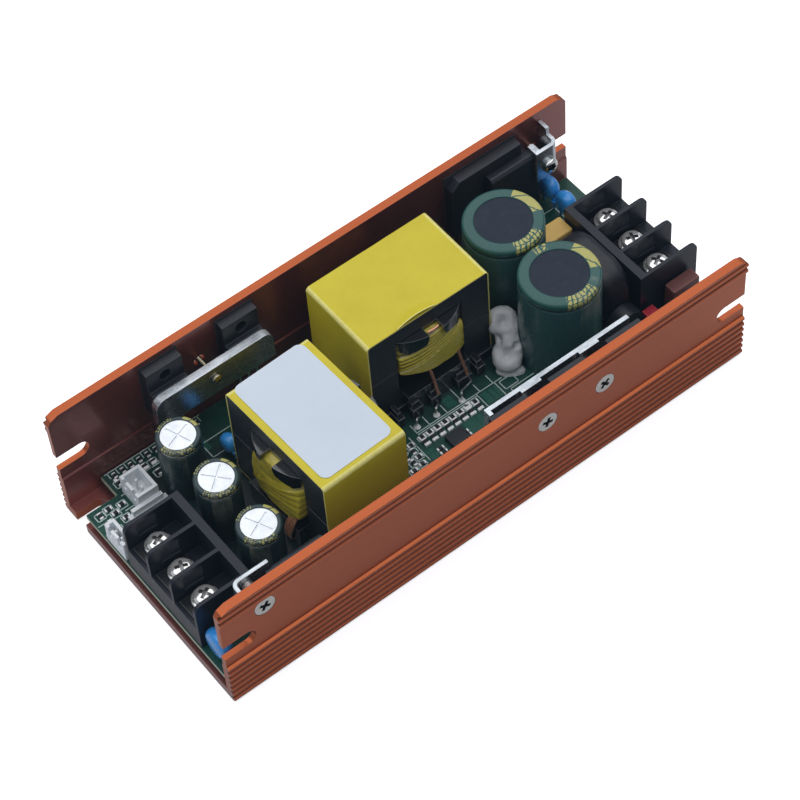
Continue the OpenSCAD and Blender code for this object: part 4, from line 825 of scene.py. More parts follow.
class Repeats:
    """Geometry Nodes trees for what repeats, each turned into a plain mesh."""

    made: dict[str, bpy.types.NodeTree] = {}

    @classmethod
    def tree(cls, name: str, inputs: dict[str, str], fill: Callable[[Graph, Any], Socket]) -> bpy.types.NodeTree:
        """Builds a tree that ends in Realize Instances and Set Material, or gives the one already built.

        Args:
            name: the tree's name.
            inputs: socket kinds by name, besides the geometry and the material.
            fill: adds the nodes and gives their instances.

        Returns:
            The tree.
        """
        if name not in cls.made:
            tree = bpy.data.node_groups.new(name, "GeometryNodeTree")
            for key, kind in {"Geometry": "Geometry", **inputs, "Material": "Material"}.items():
                tree.interface.new_socket(key, in_out="INPUT", socket_type="NodeSocket" + kind)
            tree.interface.new_socket("Geometry", in_out="OUTPUT", socket_type="NodeSocketGeometry")
            g = Graph(tree)
            start = g.add("NodeGroupInput").outputs
            real = g.add("GeometryNodeRealizeInstances", {"Geometry": fill(g, start)}).outputs[0]
            dress = g.add("GeometryNodeSetMaterial", {"Geometry": real, "Material": start["Material"]}).outputs[0]
            g.add("NodeGroupOutput", {"Geometry": dress})
            cls.made[name] = tree
        return cls.made[name]

    @staticmethod
    def own(g: Graph, name: str, kind: str) -> Socket:
        """A value that each point carries."""
        return g.add("GeometryNodeInputNamedAttribute", {"Name": name}, data_type=kind).outputs["Attribute"]

    @staticmethod
    def put(g: Graph, points: Socket, shape: Socket, **more: Socket) -> Socket:
        """A shape on each point."""
        return g.add("GeometryNodeInstanceOnPoints", {"Points": points, "Instance": shape, **more}).outputs["Instances"]

    @classmethod
    def blocks(cls) -> bpy.types.NodeTree:
        """Small blocks on points, sized and turned by the points' own values."""
        def fill(g: Graph, i: Any) -> Socket:
            """Nodes of the blocks."""
            cube = g.add("GeometryNodeMeshCube", {"Size": (1.0, 1.0, 1.0)}).outputs["Mesh"]
            size = g.add("ShaderNodeVectorMath", {0: cls.own(g, "size", "FLOAT_VECTOR"), "Scale": i["Unit"]},
                         operation="SCALE").outputs[0]
            spin = g.add("ShaderNodeCombineXYZ", {"Z": cls.own(g, "turn", "FLOAT")}).outputs[0]
            return cls.put(g, i["Geometry"], cube, Rotation=spin, Scale=size)
        return cls.tree("blocks", {"Unit": "Float"}, fill)

    @classmethod
    def joints(cls) -> bpy.types.NodeTree:
        """Solder joints on points: a cone of solder round a cut pin."""
        def fill(g: Graph, i: Any) -> Socket:
            """Nodes of the joints."""
            cone = g.add("GeometryNodeMeshCone", {"Vertices": 12, "Side Segments": 2, "Radius Top": i["Neck"],
                                                  "Radius Bottom": i["Foot"], "Depth": i["Height"]}).outputs["Mesh"]
            pin = g.add("GeometryNodeMeshCylinder", {"Vertices": 8, "Radius": i["Neck"],
                                                     "Depth": g.product(i["Height"], 3.2)}).outputs["Mesh"]
            join = g.add("GeometryNodeJoinGeometry", {0: cone})
            g.tree.links.new(pin, join.inputs[0])
            return cls.put(g, i["Geometry"], join.outputs[0])
        return cls.tree("joints", {"Foot": "Float", "Neck": "Float", "Height": "Float"}, fill)

    @classmethod
    def screws(cls) -> bpy.types.NodeTree:
        """A screw on each point, turned to stand along the point's axis."""
        def fill(g: Graph, i: Any) -> Socket:
            """Nodes of the screws."""
            screw = g.add("GeometryNodeObjectInfo", {"Object": i["Screw"]}).outputs["Geometry"]
            return cls.put(g, i["Geometry"], screw, Rotation=cls.own(g, "axis", "FLOAT_VECTOR"))
        return cls.tree("screws", {"Screw": "Object"}, fill)

    @classmethod
    def block_mesh(cls, blocks: Sequence[Block], finish: Finish) -> bpy.types.Mesh:
        """Blocks as one mesh.

        Args:
            blocks: middle and size, in millimetres, and turn about Z of each block.
            finish: of the blocks.

        Returns:
            The realised mesh.
        """
        middles, sizes, turns = zip(*blocks)
        return cls.run(cls.blocks(), middles, {"Unit": MM, "Material": finish.material()},
                       {"size": sizes, "turn": turns})

    @staticmethod
    def run(tree: bpy.types.NodeTree, points: Sequence[Point], values: dict[str, Any],
            attributes: Optional[dict[str, Sequence]] = None) -> bpy.types.Mesh:
        """Runs a tree on points and gives the plain mesh.

        Args:
            tree: the tree to run.
            points: places in millimetres.
            values: the tree's inputs by name; lengths in metres.
            attributes: values per point: floats, or vectors.

        Returns:
            The realised mesh.
        """
        seed = bpy.data.meshes.new("points")
        seed.from_pydata([Vector(p) * MM for p in points], [], [])
        for key, rows in (attributes or {}).items():
            vector = isinstance(rows[0], (tuple, list, Vector))
            layer = seed.attributes.new(key, "FLOAT_VECTOR" if vector else "FLOAT", "POINT")
            for item, row in zip(layer.data, rows):
                setattr(item, "vector" if vector else "value", row)
        obj = linked("points", seed)
        mod = obj.modifiers.new("repeat", "NODES")
        mod.node_group = tree
        for item in tree.interface.items_tree:
            if item.in_out == "INPUT" and item.name in values:
                mod[item.identifier] = values[item.name]
        mesh = evaluated(obj)
        obj.modifiers.remove(mod)
        bpy.data.objects.remove(obj)
        bpy.data.meshes.remove(seed)
        return mesh


def block_piece(name: str, blocks: Sequence[Block], finish: Finish) -> bpy.types.Object:
    """A piece made of plain blocks of one finish."""
    return piece(name, Repeats.block_mesh(blocks, finish), [finish], weighted=False)


class HeadShape(Enum):
    """Shapes of screw head."""

    COUNTERSUNK = "countersunk"
    PAN = "pan"


@dataclass
class ScrewKind:
    """A cross-recessed screw, with its head's outer face up along +Z at the origin."""

    head: HeadShape
    head_d: float = 5.6
    head_h: float = 1.4
    shank_d: float = 2.95
    length: float = 8.0
    recess_l: float = 3.5
    recess_w: float = 0.95
    recess_h: float = 1.2
    washer_d: float = 0.0
    washer_t: float = 0.8
    thread_p: float = 0.5
    thread_h: float = 0.16

    @property
    def top(self) -> float:
        """Height of the head's top."""
        return 0.0 if self.head is HeadShape.COUNTERSUNK else self.head_h

    def profile(self) -> list[tuple[float, float]]:
        """The screw's outline: thread, washer and head.

        Returns:
            Radius and height pairs, from the tip up.
        """
        r, s, h = self.head_d / 2, self.shank_d / 2, self.head_h
        outline = [(0.0, -self.length)]
        z = -self.length
        while z < -h - 0.4:
            outline += [(s - self.thread_h, z), (s, z + self.thread_p / 2)]
            z += self.thread_p
        if self.head is HeadShape.COUNTERSUNK:
            return outline + [(s, -h), (r - 0.05, -0.22), (r, -0.12), (r - 0.1, -0.02), (r - 0.4, 0.0), (0.0, 0.0)]
        if self.washer_d:
            w, t = self.washer_d / 2, self.washer_t
            outline += [(s, -t), (w - 0.1, -t), (w, -t + 0.12), (w, -0.3), (w - 0.25, -0.08), (w - 0.5, -0.02),
                        (r + 0.12, -0.3)]
        else:
            outline.append((s, 0.0))
        outline += [(r - 0.08, 0.0), (r, 0.1)]
        for degrees in (0, 9, 18, 30, 42, 54, 66, 78):
            a = math.radians(degrees)
            outline.append((r * math.cos(a), h * (0.3 + 0.7 * math.sin(a) ** 0.7)))
        return outline + [(0.0, h)]

    def template(self) -> bpy.types.Object:
        """Builds the screw with its recess cut out.

        Returns:
            A scratch object, which the caller removes.
        """
        body = linked("screw", to_mesh("screw", revolve(self.profile(), Matrix.Identity(4), 40)))
        for turn in (0.0, math.pi / 2):
            tool_bm = bmesh.new()
            bmesh.ops.create_cube(tool_bm, size=1.0)
            for v in tool_bm.verts:
                shrink = 0.55 if v.co.z < 0 else 1.0
                v.co = Vector((v.co.x * self.recess_l * shrink, v.co.y * self.recess_w * (0.75 + 0.25 * shrink),
                               self.top + (0.3 if v.co.z > 0 else -self.recess_h))) * MM
                v.co.rotate(Matrix.Rotation(turn, 3, "Z"))
            tool = linked("recess", to_mesh("recess", tool_bm))
            cut = body.modifiers.new("recess", "BOOLEAN")
            cut.operation, cut.solver, cut.object = "DIFFERENCE", "EXACT", tool
            done = evaluated(body)
            body.modifiers.remove(cut)
            body.data = done
            bpy.data.objects.remove(tool)
        self.paint_recess_shade(body.data)
        return body

    def paint_recess_shade(self, mesh: bpy.types.Mesh) -> None:
        """Marks the recess's faces in the "deep" layer of the screw's mesh, where the finish paints shade into the
        cross recess.
        """
        layer = mesh.attributes.new("deep", "FLOAT", "FACE")
        for face, item in zip(mesh.polygons, layer.data):
            spot = face.center / MM
            out = math.hypot(spot.x, spot.y)
            skin = self.top
            if self.head is HeadShape.PAN:
                skin *= 0.3 + 0.7 * max(0.0, 1.0 - (2.0 * out / self.head_d) ** 2) ** 0.35
            within = self.top - self.recess_h - 0.05 < spot.z < skin - 0.1
            item.value = float(within and out < self.recess_l / 2 + 0.05)

    def place(self, name: str, finish: Finish, spots: Sequence[tuple[Point, Point]],
              replaces: Sequence[str]) -> bpy.types.Object:
        """Puts a screw on each spot.

        Args:
            name: the piece's name.
            finish: of the screws.
            spots: place of the head's face in millimetres, and turn about X, Y and Z in radians.
            replaces: CAD nodes it stands for.

        Returns:
            The object.
        """
        screw = self.template()
        mesh = Repeats.run(Repeats.screws(), [p for p, _ in spots],
                           {"Screw": screw, "Material": finish.material()}, {"axis": [a for _, a in spots]})
        bpy.data.objects.remove(screw)
        return piece(name, mesh, [finish], replaces, angle=30.0, weighted=False)


def csk_screw(length: float) -> ScrewKind:
    """The countersunk screw of the walls and the floor."""
    return ScrewKind(HeadShape.COUNTERSUNK, 5.7, 1.45, length=length)


# --------------------------------------------------------------------------- sub-assemblies


@dataclass
class Channel:
    """The ribbed U extrusion."""

    node: str = "channel_housing"
    edge_round: float = 0.16
    rib_h: float = 0.7
    narrow: float = 1.2
    floor_t: float = 3.0
    board_half: float = 32.5
    ledge_y: float = 33.25

    def build(self) -> None:
        """Rounds the extrusion's edges, paints shade into the grooves between its ribs and a highlight on their lit
        flanks, and anodises it, with a darker inside finish that paints the shade there.
        """
        bm = copy_node(self.node)
        round_edges(bm, self.edge_round, 2, 25.0)
        self.split_ends(bm)
        self.shade_grooves(bm)
        self.mark_shaded_inside(bm)
        piece("dressed_" + self.node, bm, [ANODISED, ANODISED_SHADED_INSIDE], [self.node])

    def split_ends(self, bm: bmesh.types.BMesh) -> None:
        """Cuts the flat ends at the floor's height, so that floor and walls may differ."""
        ends = [f for f in bm.faces if abs(f.normal.x) > 0.95]
        parts = ends + list({e for f in ends for e in f.edges}) + list({v for f in ends for v in f.verts})
        bmesh.ops.bisect_plane(bm, geom=parts, plane_co=(0.0, 0.0, self.floor_t * MM), plane_no=(0.0, 0.0, 1.0))

    def shade_grooves(self, bm: bmesh.types.BMesh) -> None:
        """Paints shade into the grooves through the "deep" layer, and a painted highlight on the lit flanks under the
        wide panels.
        """
        outer = node_box(self.node)[1].y
        deep = bm.loops.layers.float.new("deep")
        edge = bm.faces.layers.float.get("edge")
        heights = {f: sorted(v.co.z / MM for v in f.verts) for f in bm.faces}
        panels = [z[0] for f, z in heights.items()
                  if z[-1] - z[0] > 3.0 * self.narrow and f.normal.y * f.calc_center_median().y > 0.02]
        for face, z in heights.items():
            spot = face.calc_center_median() / MM
            outside = spot.z >= 0.2 and face.normal.y * spot.y >= 0.05
            if not (outside and 0.1 < outer - abs(spot.y) < self.rib_h + 0.2 and z[-1] - z[0] <= self.narrow):
                continue
            # Lit flanks under the panels take a paler edge colour, a painted highlight; the other groove faces take
            # painted shade, more deeper in and more on faces that face up.
            upward = face.normal.z > 0.2
            lit = upward and any(abs(z[-1] - low) < 0.45 for low in panels)
            face[edge] = 0.3 if lit else 0.0
            if lit:
                continue
            for loop in face.loops:
                share = min(1.0, max(0.0, (outer - abs(loop.vert.co.y) / MM) / self.rib_h))
                loop[deep] = (1.0 if upward else 0.75) * (0.35 + 0.65 * share ** 0.5)

    def mark_shaded_inside(self, bm: bmesh.types.BMesh) -> None:
        """Gives the inner walls, the ledge and the floor's ends the inside finish: a darker copy of the anodised finish
        that paints the shade and dark reflections there.
        """
        high = node_box(self.node)[1]
        for face in bm.faces:
            spot = face.calc_center_median() / MM
            end = abs(face.normal.x) > 0.6 and spot.z < self.floor_t and abs(spot.y) < self.board_half
            inward = face.normal.y * spot.y < -0.3 * abs(spot.y) and spot.z > self.floor_t - 0.3
            ledge = face.normal.z > 0.3 and spot.z < high.z - 1.2 and abs(spot.y) < self.ledge_y
            inner = inward and abs(spot.y) < high.y - self.rib_h - 0.1
            if end or ledge or inner:
                face.material_index = 1


@dataclass
class Board:
    """The circuit board with its print, small parts and solder joints."""

    top: float = 7.2
    stroke: float = 0.24
    chip: Point = (1.7, 0.9, 0.6)
    chip_step: float = 2.355
    seed: int = 11
    strokes: list[tuple[float, float, float, float]] = field(default_factory=list)
    chips: list[tuple[float, float, float, Point]] = field(default_factory=list)
    bars: list[tuple[float, float, float, float]] = field(default_factory=list)
    patches: Sequence[tuple[float, float, float, float]] = (
        (17.0, -7.6, 18.9, -11.2), (19.3, -7.6, 20.4, -11.2), (20.8, -7.6, 22.0, -11.2), (8.5, -2.6, 11.2, -6.0),
        (8.2, -11.9, 11.6, -15.6), (12.0, -12.2, 13.6, -15.6), (-3.9, -12.4, -1.6, -13.4), (-3.9, -13.7, -1.4, -15.4),
        (-72.0, 13.0, -66.0, 16.0), (24.5, -4.2, 29.0, -6.2), (66.0, 19.0, 75.0, 21.5), (-50.0, 22.0, -43.0, 26.5),
        (-24.0, 18.0, -16.0, 30.0), (-12.0, -29.0, 4.0, -26.0))

    def build(self) -> None:
        """Dresses the board and everything printed or soldered on it."""
        # Painted shade on the board round the transformer, the inductor and the output sleeves.
        boxes = [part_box(name) for name in ("output_transformer_core", "boost_inductor_core", "output_sleeve_a",
                                           "output_sleeve_b", "output_sleeve_c")]
        shaded_feet = tuple((tuple((low + high) / 2), tuple((high - low) / 2)) for low, high in boxes)
        dressed_copy("circuit_board", replace(BOARD, shaded_feet=shaded_feet), 0.12, 1, 35.0, BOARD_EDGE,
                     lambda c, n: abs(n.z) < 0.5)
        self.lay_out()
        self.build_print()
        block_piece("board_copper_areas", [(((x0 + x1) / 2, (y0 + y1) / 2, self.top + 0.005),
                                            (abs(x1 - x0), abs(y1 - y0), 0.05), 0.0)
                                           for x0, y0, x1, y1 in self.patches], BOARD_COPPER)
        self.build_chips()
        self.build_joints()

    def line(self, x0: float, y0: float, x1: float, y1: float) -> None:
        """Adds one printed stroke."""
        self.strokes.append((x0, y0, x1, y1))

    def frame(self, x0: float, y0: float, x1: float, y1: float) -> None:
        """Adds a printed rectangle."""
        self.line(x0, y0, x1, y0)
        self.line(x1, y0, x1, y1)
        self.line(x1, y1, x0, y1)
        self.line(x0, y1, x0, y0)

    def lay_out(self) -> None:
        """Places the printed strokes and the chips."""
        rng = random.Random(self.seed)
        for i in range(8):
            x = -2.0 + i * self.chip_step
            self.chips.append((x, -10.2, math.pi / 2, (1.7, 1.45, 0.6)))
            self.bars.append((x, -11.15, 1.65, 0.75))
            self.frame(x - 1.05, -9.4, x + 1.05, -7.9)
            self.chips.append((x + 0.1, -8.65, 0.0, (1.7, 1.05, 0.6)))
        self.bars += [(12.3, -9.0, 1.5, 0.9), (12.9, -7.9, 1.1, 0.6), (-62.6, 16.3, 3.2, 1.2), (-66.9, 29.0, 0.8, 0.8),
                      (-56.6, 27.3, 1.4, 0.8), (-59.0, 27.2, 1.4, 0.8), (-54.0, 25.6, 0.9, 1.4)]
        self.line(-2.0, -6.7, 24.3, -6.9)
        self.line(-2.0, -7.3, 16.2, -7.4)
        self.line(-4.4, -6.6, -4.4, -15.0)
        for x, y0, y1 in ((-1.95, -4.0, -6.6), (2.0, -3.8, -7.5), (7.5, -3.9, -6.5), (12.4, -1.0, -6.3),
                          (17.6, -4.2, -6.6), (21.7, -4.0, -6.6), (22.0, -6.9, -11.5), (16.4, -7.0, -12.0)):
            self.line(x, y0, x, y1)
        self.frame(23.0, -7.6, 27.0, -10.4)
        for k, (x, y) in enumerate(((-5.5, -8.8), (-6.2, -10.6), (-6.0, -12.6), (-8.0, -13.3), (-6.6, -14.8),
                                    (-8.6, -11.2), (-9.4, -15.2))):
            self.chips.append((x, y, math.pi / 2 * (k % 2), self.chip))
            self.frame(x - 1.2, y - 0.8, x + 1.2, y + 0.8)
        for x in (-0.5, 7.1):
            for y in (-14.2, -15.5):
                self.chips.append((x, y, 0.0, (1.8, 0.8, 0.7)))
        self.line(-68.0, 32.2, -40.0, 32.2)
        for i in range(12):
            x = -67.4 + 2.44 * i
            self.line(x, 32.2, x, 30.4)
            if i < 11:
                self.chips.append((x + 1.2, 30.4, math.pi / 2, (1.5, 0.9, 0.5)))
        for x, y in ((-74.2, 18.0), (-76.2, 20.6), (-68.4, 20.4), (-66.8, 24.6), (-76.2, 17.4), (-72.4, 16.6)):
            self.line(x - 1.4, y, x + 1.2, y)
            self.line(x + 1.2, y, x + 1.2, y - 1.5)
        for x, y in ((-56.7, 27.8), (-59.2, 27.9), (-66.6, 27.9), (-69.6, 22.4), (-72.2, 21.2), (-74.6, 19.6),
                     (-70.8, 18.6), (-73.0, 23.2), (-75.6, 22.8), (-57.2, 24.4)):
            self.chips.append((x, y, rng.choice((0.0, math.pi / 2)), self.chip))
            self.frame(x - 1.2, y - 1.1, x + 1.2, y + 1.1)
        for x, y, w, h in ((-40.0, 22.0, 9.0, 5.0), (-28.0, 24.0, 7.0, 4.0), (-12.0, -24.0, 12.0, 6.0),
                           (66.0, 24.0, 6.0, 5.0), (-47.0, 10.0, 5.0, 5.0), (28.0, -14.0, 8.0, 6.0),
                           (33.0, 27.0, 7.0, 4.0), (-16.0, 8.0, 5.0, 12.0)):
            self.frame(x - w / 2, y - h / 2, x + w / 2, y + h / 2)

    def build_print(self) -> None:
        """Prints the strokes."""
        block_piece("board_print", [
            (((x0 + x1) / 2, (y0 + y1) / 2, self.top + 0.02),
             (math.hypot(x1 - x0, y1 - y0) + self.stroke, self.stroke, 0.06), math.atan2(y1 - y0, x1 - x0))
            for x0, y0, x1, y1 in self.strokes], PRINT)

    def build_chips(self) -> None:
        """Sets the chips: dark bodies and bright ends."""
        bodies: list[Block] = []
        ends: list[Block] = [((x, y, self.top + 0.3), (wide, deep, 0.66), 0.0) for x, y, wide, deep in self.bars]
        for x, y, turn, (length, width, height) in self.chips:
            bodies.append(((x, y, self.top + height / 2), (length * 0.62, width, height), turn))
            for off in (-0.42 * length, 0.42 * length):
                ends.append(((x + off * math.cos(turn), y + off * math.sin(turn), self.top + height * 0.46),
                             (length * 0.26, width * 1.06, height * 0.96), turn))
        block_piece("chip_bodies", bodies, CHIP_DARK)
        block_piece("chip_ends", ends, SOLDER)
        dressed_copy("control_chip", EPOXY, 0.08, 1, 35.0, TINNED,
                     lambda c, n: c.z < self.top + 0.31 and abs(c.y + 14.5) > 1.9)

    def build_joints(self) -> None:
        """Leaves a solder joint at each lead that shows on the board."""
        spots = [(-0.8, -5.3), (5.1, -5.5), (12.6, -6.1), (-46.6, 14.2), (-44.4, 12.0), (-45.5, 16.0), (61.5, -14.2),
                 (30.4, 24.0), (33.0, 22.0), (-14.0, 20.0), (-11.0, 22.5), (-16.0, 24.0), (-12.0, -20.0),
                 (-9.0, -22.5), (20.5, -22.0), (28.0, -21.0), (36.0, -23.5)]
        mesh = Repeats.run(Repeats.joints(), [(x, y, self.top) for x, y in spots],
                           {"Foot": 0.9 * MM, "Neck": 0.35 * MM, "Height": 0.8 * MM, "Material": SOLDER.material()})
        piece("solder_joints", mesh, [SOLDER], weighted=False)
        wires = [[(12.6, -6.1, 7.3), (12.7, -5.9, 9.2), (13.4, -5.1, 9.6), (15.2, -4.5, 9.2), (17.2, -3.9, 9.0),
                  (17.5, -2.9, 8.9)],
                 [(-0.8, -5.3, 7.3), (-0.7, -5.2, 9.2), (0.0, -4.6, 9.6), (0.8, -4.2, 9.0), (1.3, -2.9, 8.9)],
                 [(5.1, -5.5, 7.3), (5.1, -5.4, 9.0), (5.8, -4.8, 9.5), (6.8, -4.2, 9.0), (7.1, -2.9, 8.9)]]
        piece("wire_ends", merged(tube(w, 0.32) for w in wires), [TINNED], weighted=False)


@dataclass
class WoundPart:
    """A wound part: ferrite core, bobbin, winding and tape wrap."""

    prefix: str
    turn: float
    front: float
    skirt: Sequence[tuple[float, float]]
    square: float
    flare: float
    corner: float = 1.1
    tape_w: float = 24.2
    tape_t: float = 0.28
    long: float = 36.6
    winding_r: float = 14.35
    bulge: float = 14.25
    bore: float = 8.6
    window_half: float = 9.75
    window_turn: float = 47.0
    free_top: float = 28.8
    hidden_low: float = 15.4

    def __post_init__(self) -> None:
        """Finds the part's middle and height from the CAD tape and winding."""
        low, high = node_box(self.prefix + "_tape")
        wound_low, wound_high = node_box(self.prefix + "_winding")
        self.middle = (wound_low + wound_high) / 2
        self.low, self.high, self.wound_top = low.z, high.z, wound_high.z - 0.2
        self.at = Matrix.Translation((self.middle.x, self.middle.y, 0.0)) @ Matrix.Rotation(
            math.radians(self.turn), 4, "Z")

    def build(self) -> None:
        """Builds the part's pieces."""
        dressed_copy(self.prefix + "_core", FERRITE, 0.25)
        dressed_copy(self.prefix + "_bobbin", BOBBIN, 0.12)
        self.build_tape()
        self.build_winding()

    def point(self, bm: bmesh.types.BMesh, x: float, y: float, z: float) -> bmesh.types.BMVert:
        """A new point, given in the part's own frame in millimetres."""
        return bm.verts.new(self.at @ Vector((x, y, z)) * MM)

    def tape_path(self) -> list[tuple[float, float, float]]:
        """The tape's way round the core: X, Z and the angle at which it faces."""
        corners = round_corners(self.long / 2, (self.high - self.low) / 2, self.corner, 6)
        path = []
        for here, after in zip(corners, corners[1:] + corners[:1]):
            (x0, z0, turn), (x1, z1, _) = here[-1], after[0]
            path += here + [(x0 + (x1 - x0) * k / 20, z0 + (z1 - z0) * k / 20, turn) for k in range(1, 20)]
        return path

    def build_tape(self) -> None:
        """Wraps the tape round the core, with soft corners and a little slack."""
        path, mid = self.tape_path(), (self.low + self.high) / 2
        rows = [self.tape_w * (k / 22 - 0.5) for k in range(23)]
        bm = bmesh.new()
        layer = bm.faces.layers.float.new("edge")

        def ring(y: float, slack: Callable[[float, float, float], float]) -> list[bmesh.types.BMVert]:
            """The path at one place across the tape, moved out by its slack."""
            return [self.point(bm, x + math.cos(a) * slack(x, y, z), y, z + mid + math.sin(a) * slack(x, y, z))
                    for x, z, a in path]

        def loose(x: float, y: float, z: float) -> float:
            """How far the outer layer stands off."""
            wide = noise.noise(Vector((x * 0.11, y * 0.16, z * 0.11 + len(self.prefix))))
            return 0.05 + 0.07 * wide + 0.04 * noise.noise(Vector((x * 0.5, y * 0.1, z * 0.5)))

        grid = [ring(y, loose) for y in rows]
        for a, b in zip(grid, grid[1:]):
            # The rounded corners and both side rims take the paler edge colour: a painted highlight along the tape's
            # rims.
            for face, (_, _, turn) in zip(band(bm, a, b), path):
                face[layer] = 0.9 if min(abs(math.cos(turn)), abs(math.sin(turn))) > 0.1 else 0.0
        for end, y in ((grid[0], rows[0]), (grid[-1], rows[-1])):
            for face in band(bm, end, ring(y, lambda x, y, z: -self.tape_t)):
                face[layer] = 1.0
        piece(self.prefix + "_tape_wrap", outward(bm), [TAPE], [self.prefix + "_tape"], angle=50.0, weighted=False)

    def from_window(self, turn: float) -> float:
        """Degrees from the middle of the nearer window."""
        off = (math.degrees(turn) - self.front + 180.0) % 360.0 - 180.0
        if abs(off) > 90.0:
            off = (off + 360.0) % 360.0 - 180.0
        return off

    def skirt_low(self, off: float) -> float:
        """Height of the winding's lower edge at an angle from the window's middle."""
        spots = [(-60.0, self.hidden_low), *self.skirt, (60.0, self.hidden_low)]
        for (a, za), (b, zb) in zip(spots, spots[1:]):
            if a <= off <= b:
                return za + (zb - za) * (off - a) / (b - a)
        return self.hidden_low

    def relief(self, off: float, z: float) -> tuple[float, float]:
        """Relief of the taped winding: how far a spot stands out, and how much painted shade it takes, from 0 to 1."""
        raise NotImplementedError

    def skin(self, off: float, z: float, t: float) -> tuple[float, float]:
        """Radius of the taped winding and how much painted shade the spot takes.

        Args:
            off: degrees from the window's middle.
            z: height.
            t: share of the winding's own height, from its lower edge.

        Returns:
            The radius in millimetres and the painted shade from 0 to 1.
        """
        along, across = abs(math.cos(math.radians(off))), abs(math.sin(math.radians(off)))
        wide = self.bulge / (along ** self.square + across ** self.square) ** (1.0 / self.square)
        if across > 0.1:
            wide = min(wide, self.window_half / across)
        free = min(1.0, max(0.0, (self.free_top - z) / self.flare)) if abs(off) < self.window_turn else 0.0
        out, deep = self.relief(off, z)
        r = self.winding_r + max(0.0, wide - self.winding_r) * free - 0.12 + out
        for end in (t, 1.0 - t):
            if end < 0.05:
                r -= 1.1 * (1.0 - end / 0.05) ** 2
        return r, min(1.0, deep)

    def build_winding(self) -> None:
        """Builds the taped winding that bulges out of the windows, with its folds and the painted shade in them."""
        top, steps, rows = self.wound_top, 200, 90
        bm = bmesh.new()
        # The "deep" layer carries the painted shade in the folds and grooves.
        layer = bm.faces.layers.float.new("deep")
        columns, painted_shades = [], []
        for i in range(steps):
            turn = 2.0 * math.pi * i / steps
            off = self.from_window(turn)
            low = self.skirt_low(off)
            heights = [low + (top - low) * k / rows for k in range(rows + 1)]
            skin = [self.skin(off, z, k / rows) for k, z in enumerate(heights)]
            outline = [(r, z) for (r, _), z in zip(skin, heights)] + [(self.bore, top), (self.bore, low)]
            columns.append([bm.verts.new(Vector((self.middle.x + r * math.cos(turn),
                                                 self.middle.y + r * math.sin(turn), z)) * MM) for r, z in outline])
            painted_shades.append([deep for _, deep in skin] + [0.0, 0.0])
        for a, b, depth in zip(columns, columns[1:] + columns[:1], painted_shades):
            for face, here, after in zip(band(bm, a, b), depth, depth[1:] + depth[:1]):
                face[layer] = (here + after) / 2
        piece(self.prefix + "_winding_tape", outward(bm), [WINDING], [self.prefix + "_winding"], angle=60.0,
              weighted=False)

    @staticmethod
    def build_wires(name: str, paths: Iterable[Sequence[Point]], radius: float, finish: Finish) -> None:
        """Runs wires of one kind along their paths."""
        piece(name, merged(tube(path, radius) for path in paths), [finish], weighted=False)


@dataclass
class OutputTransformer(WoundPart):
    """The transformer by the output: folded winding tape, a blank label and a flat coil of leads."""

    prefix: str = "output_transformer"
    turn: float = 92.0
    front: float = 182.0
    skirt: Sequence[tuple[float, float]] = (
        (-50.0, 26.0), (-40.0, 24.4), (-33.0, 21.6), (-26.0, 18.6), (-18.0, 16.4), (-8.0, 15.2), (9.0, 14.9),
        (22.0, 16.0), (33.0, 18.6), (50.0, 19.0))
    square: float = 12.0
    flare: float = 8.5
    label: Point = (17.3, 10.3, 2.0)
    label_x: float = 0.8
    lead_r: float = 0.34

    def build(self) -> None:
        """Builds the part's pieces, its label and its leads."""
        super().build()
        self.build_label()
        self.build_wires("transformer_coil", [
            [(-42.4, -14.2 + 0.7 * k, 18.8), (-43.8, -14.0 + 0.75 * k, 16.0), (-44.3, -13.2 + 0.75 * k, 12.6),
             (-44.4, -12.6 + 0.7 * k, 9.6), (-43.8, -12.0 + 0.6 * k, 7.4)] for k in range(4)], self.lead_r, COPPER)

    def relief(self, off: float, z: float) -> tuple[float, float]:
        """Folds and creases of loose tape, with a lower layer that stands out, and painted shade in the folds, the
        creases, along the lower layer's edge and towards the left.
        """
        fold = noise.noise(Vector((off * 0.07 + 0.03 * z, z * 0.03, 3.0)))
        under = 24.0 + 0.13 * off + 0.5 * noise.noise(Vector((off * 0.06, 0.0, 7.0))) - z
        crease = noise.noise(Vector((off * 0.015, z * 0.35 - off * 0.03, 9.0)))
        left = min(1.0, max(0.0, (-off - 4.0) / 26.0))
        out = (0.15 + left) * min(abs(fold), 0.4) - 0.2 + 0.5 * min(1.0, max(0.0, under / 0.5))
        out += 0.9 * min(abs(crease), 0.4)
        # Painted shade: in the folds and creases, along the lower layer's edge, a little all over, and more towards the
        # left.
        deep = left * max(0.0, 0.06 - abs(fold)) * 6.0 + max(0.0, 0.05 - abs(crease)) * 6.0
        deep += 0.6 * max(0.0, 1.0 - abs(under) / 0.35)
        return out, deep + 0.12 + 0.45 * max(0.0, (-off - 8.0) / 40.0)

    def build_label(self) -> None:
        """Lays the blank label on the tape."""
        outline = [(x, y) for corner in round_corners(*self.label, 8) for x, y, _ in corner]
        bm = bmesh.new()
        layer = bm.faces.layers.float.new("edge")
        rings = []
        for share, rise in ((1.0, 0.05), (1.0, 0.24), (0.985, 0.29), (0.9, 0.29), (0.6, 0.29), (0.3, 0.29)):
            ring = []
            for x, y in outline:
                px, py = self.label_x + x * share, y * share
                wave = 0.05 * noise.noise(Vector((px * 0.15, py * 0.15, 3.0)))
                ring.append(self.point(bm, px, py, self.high + rise + wave))
            rings.append(ring)
        for k, (a, b) in enumerate(zip(rings, rings[1:])):
            for face in band(bm, a, b):
                face[layer] = float(k < 2)
        bm.faces.new(rings[-1])
        bm.faces.new(list(reversed(rings[0])))
        piece(self.prefix + "_blank_label", outward(bm), [LABEL], [self.prefix + "_label"], weighted=False)


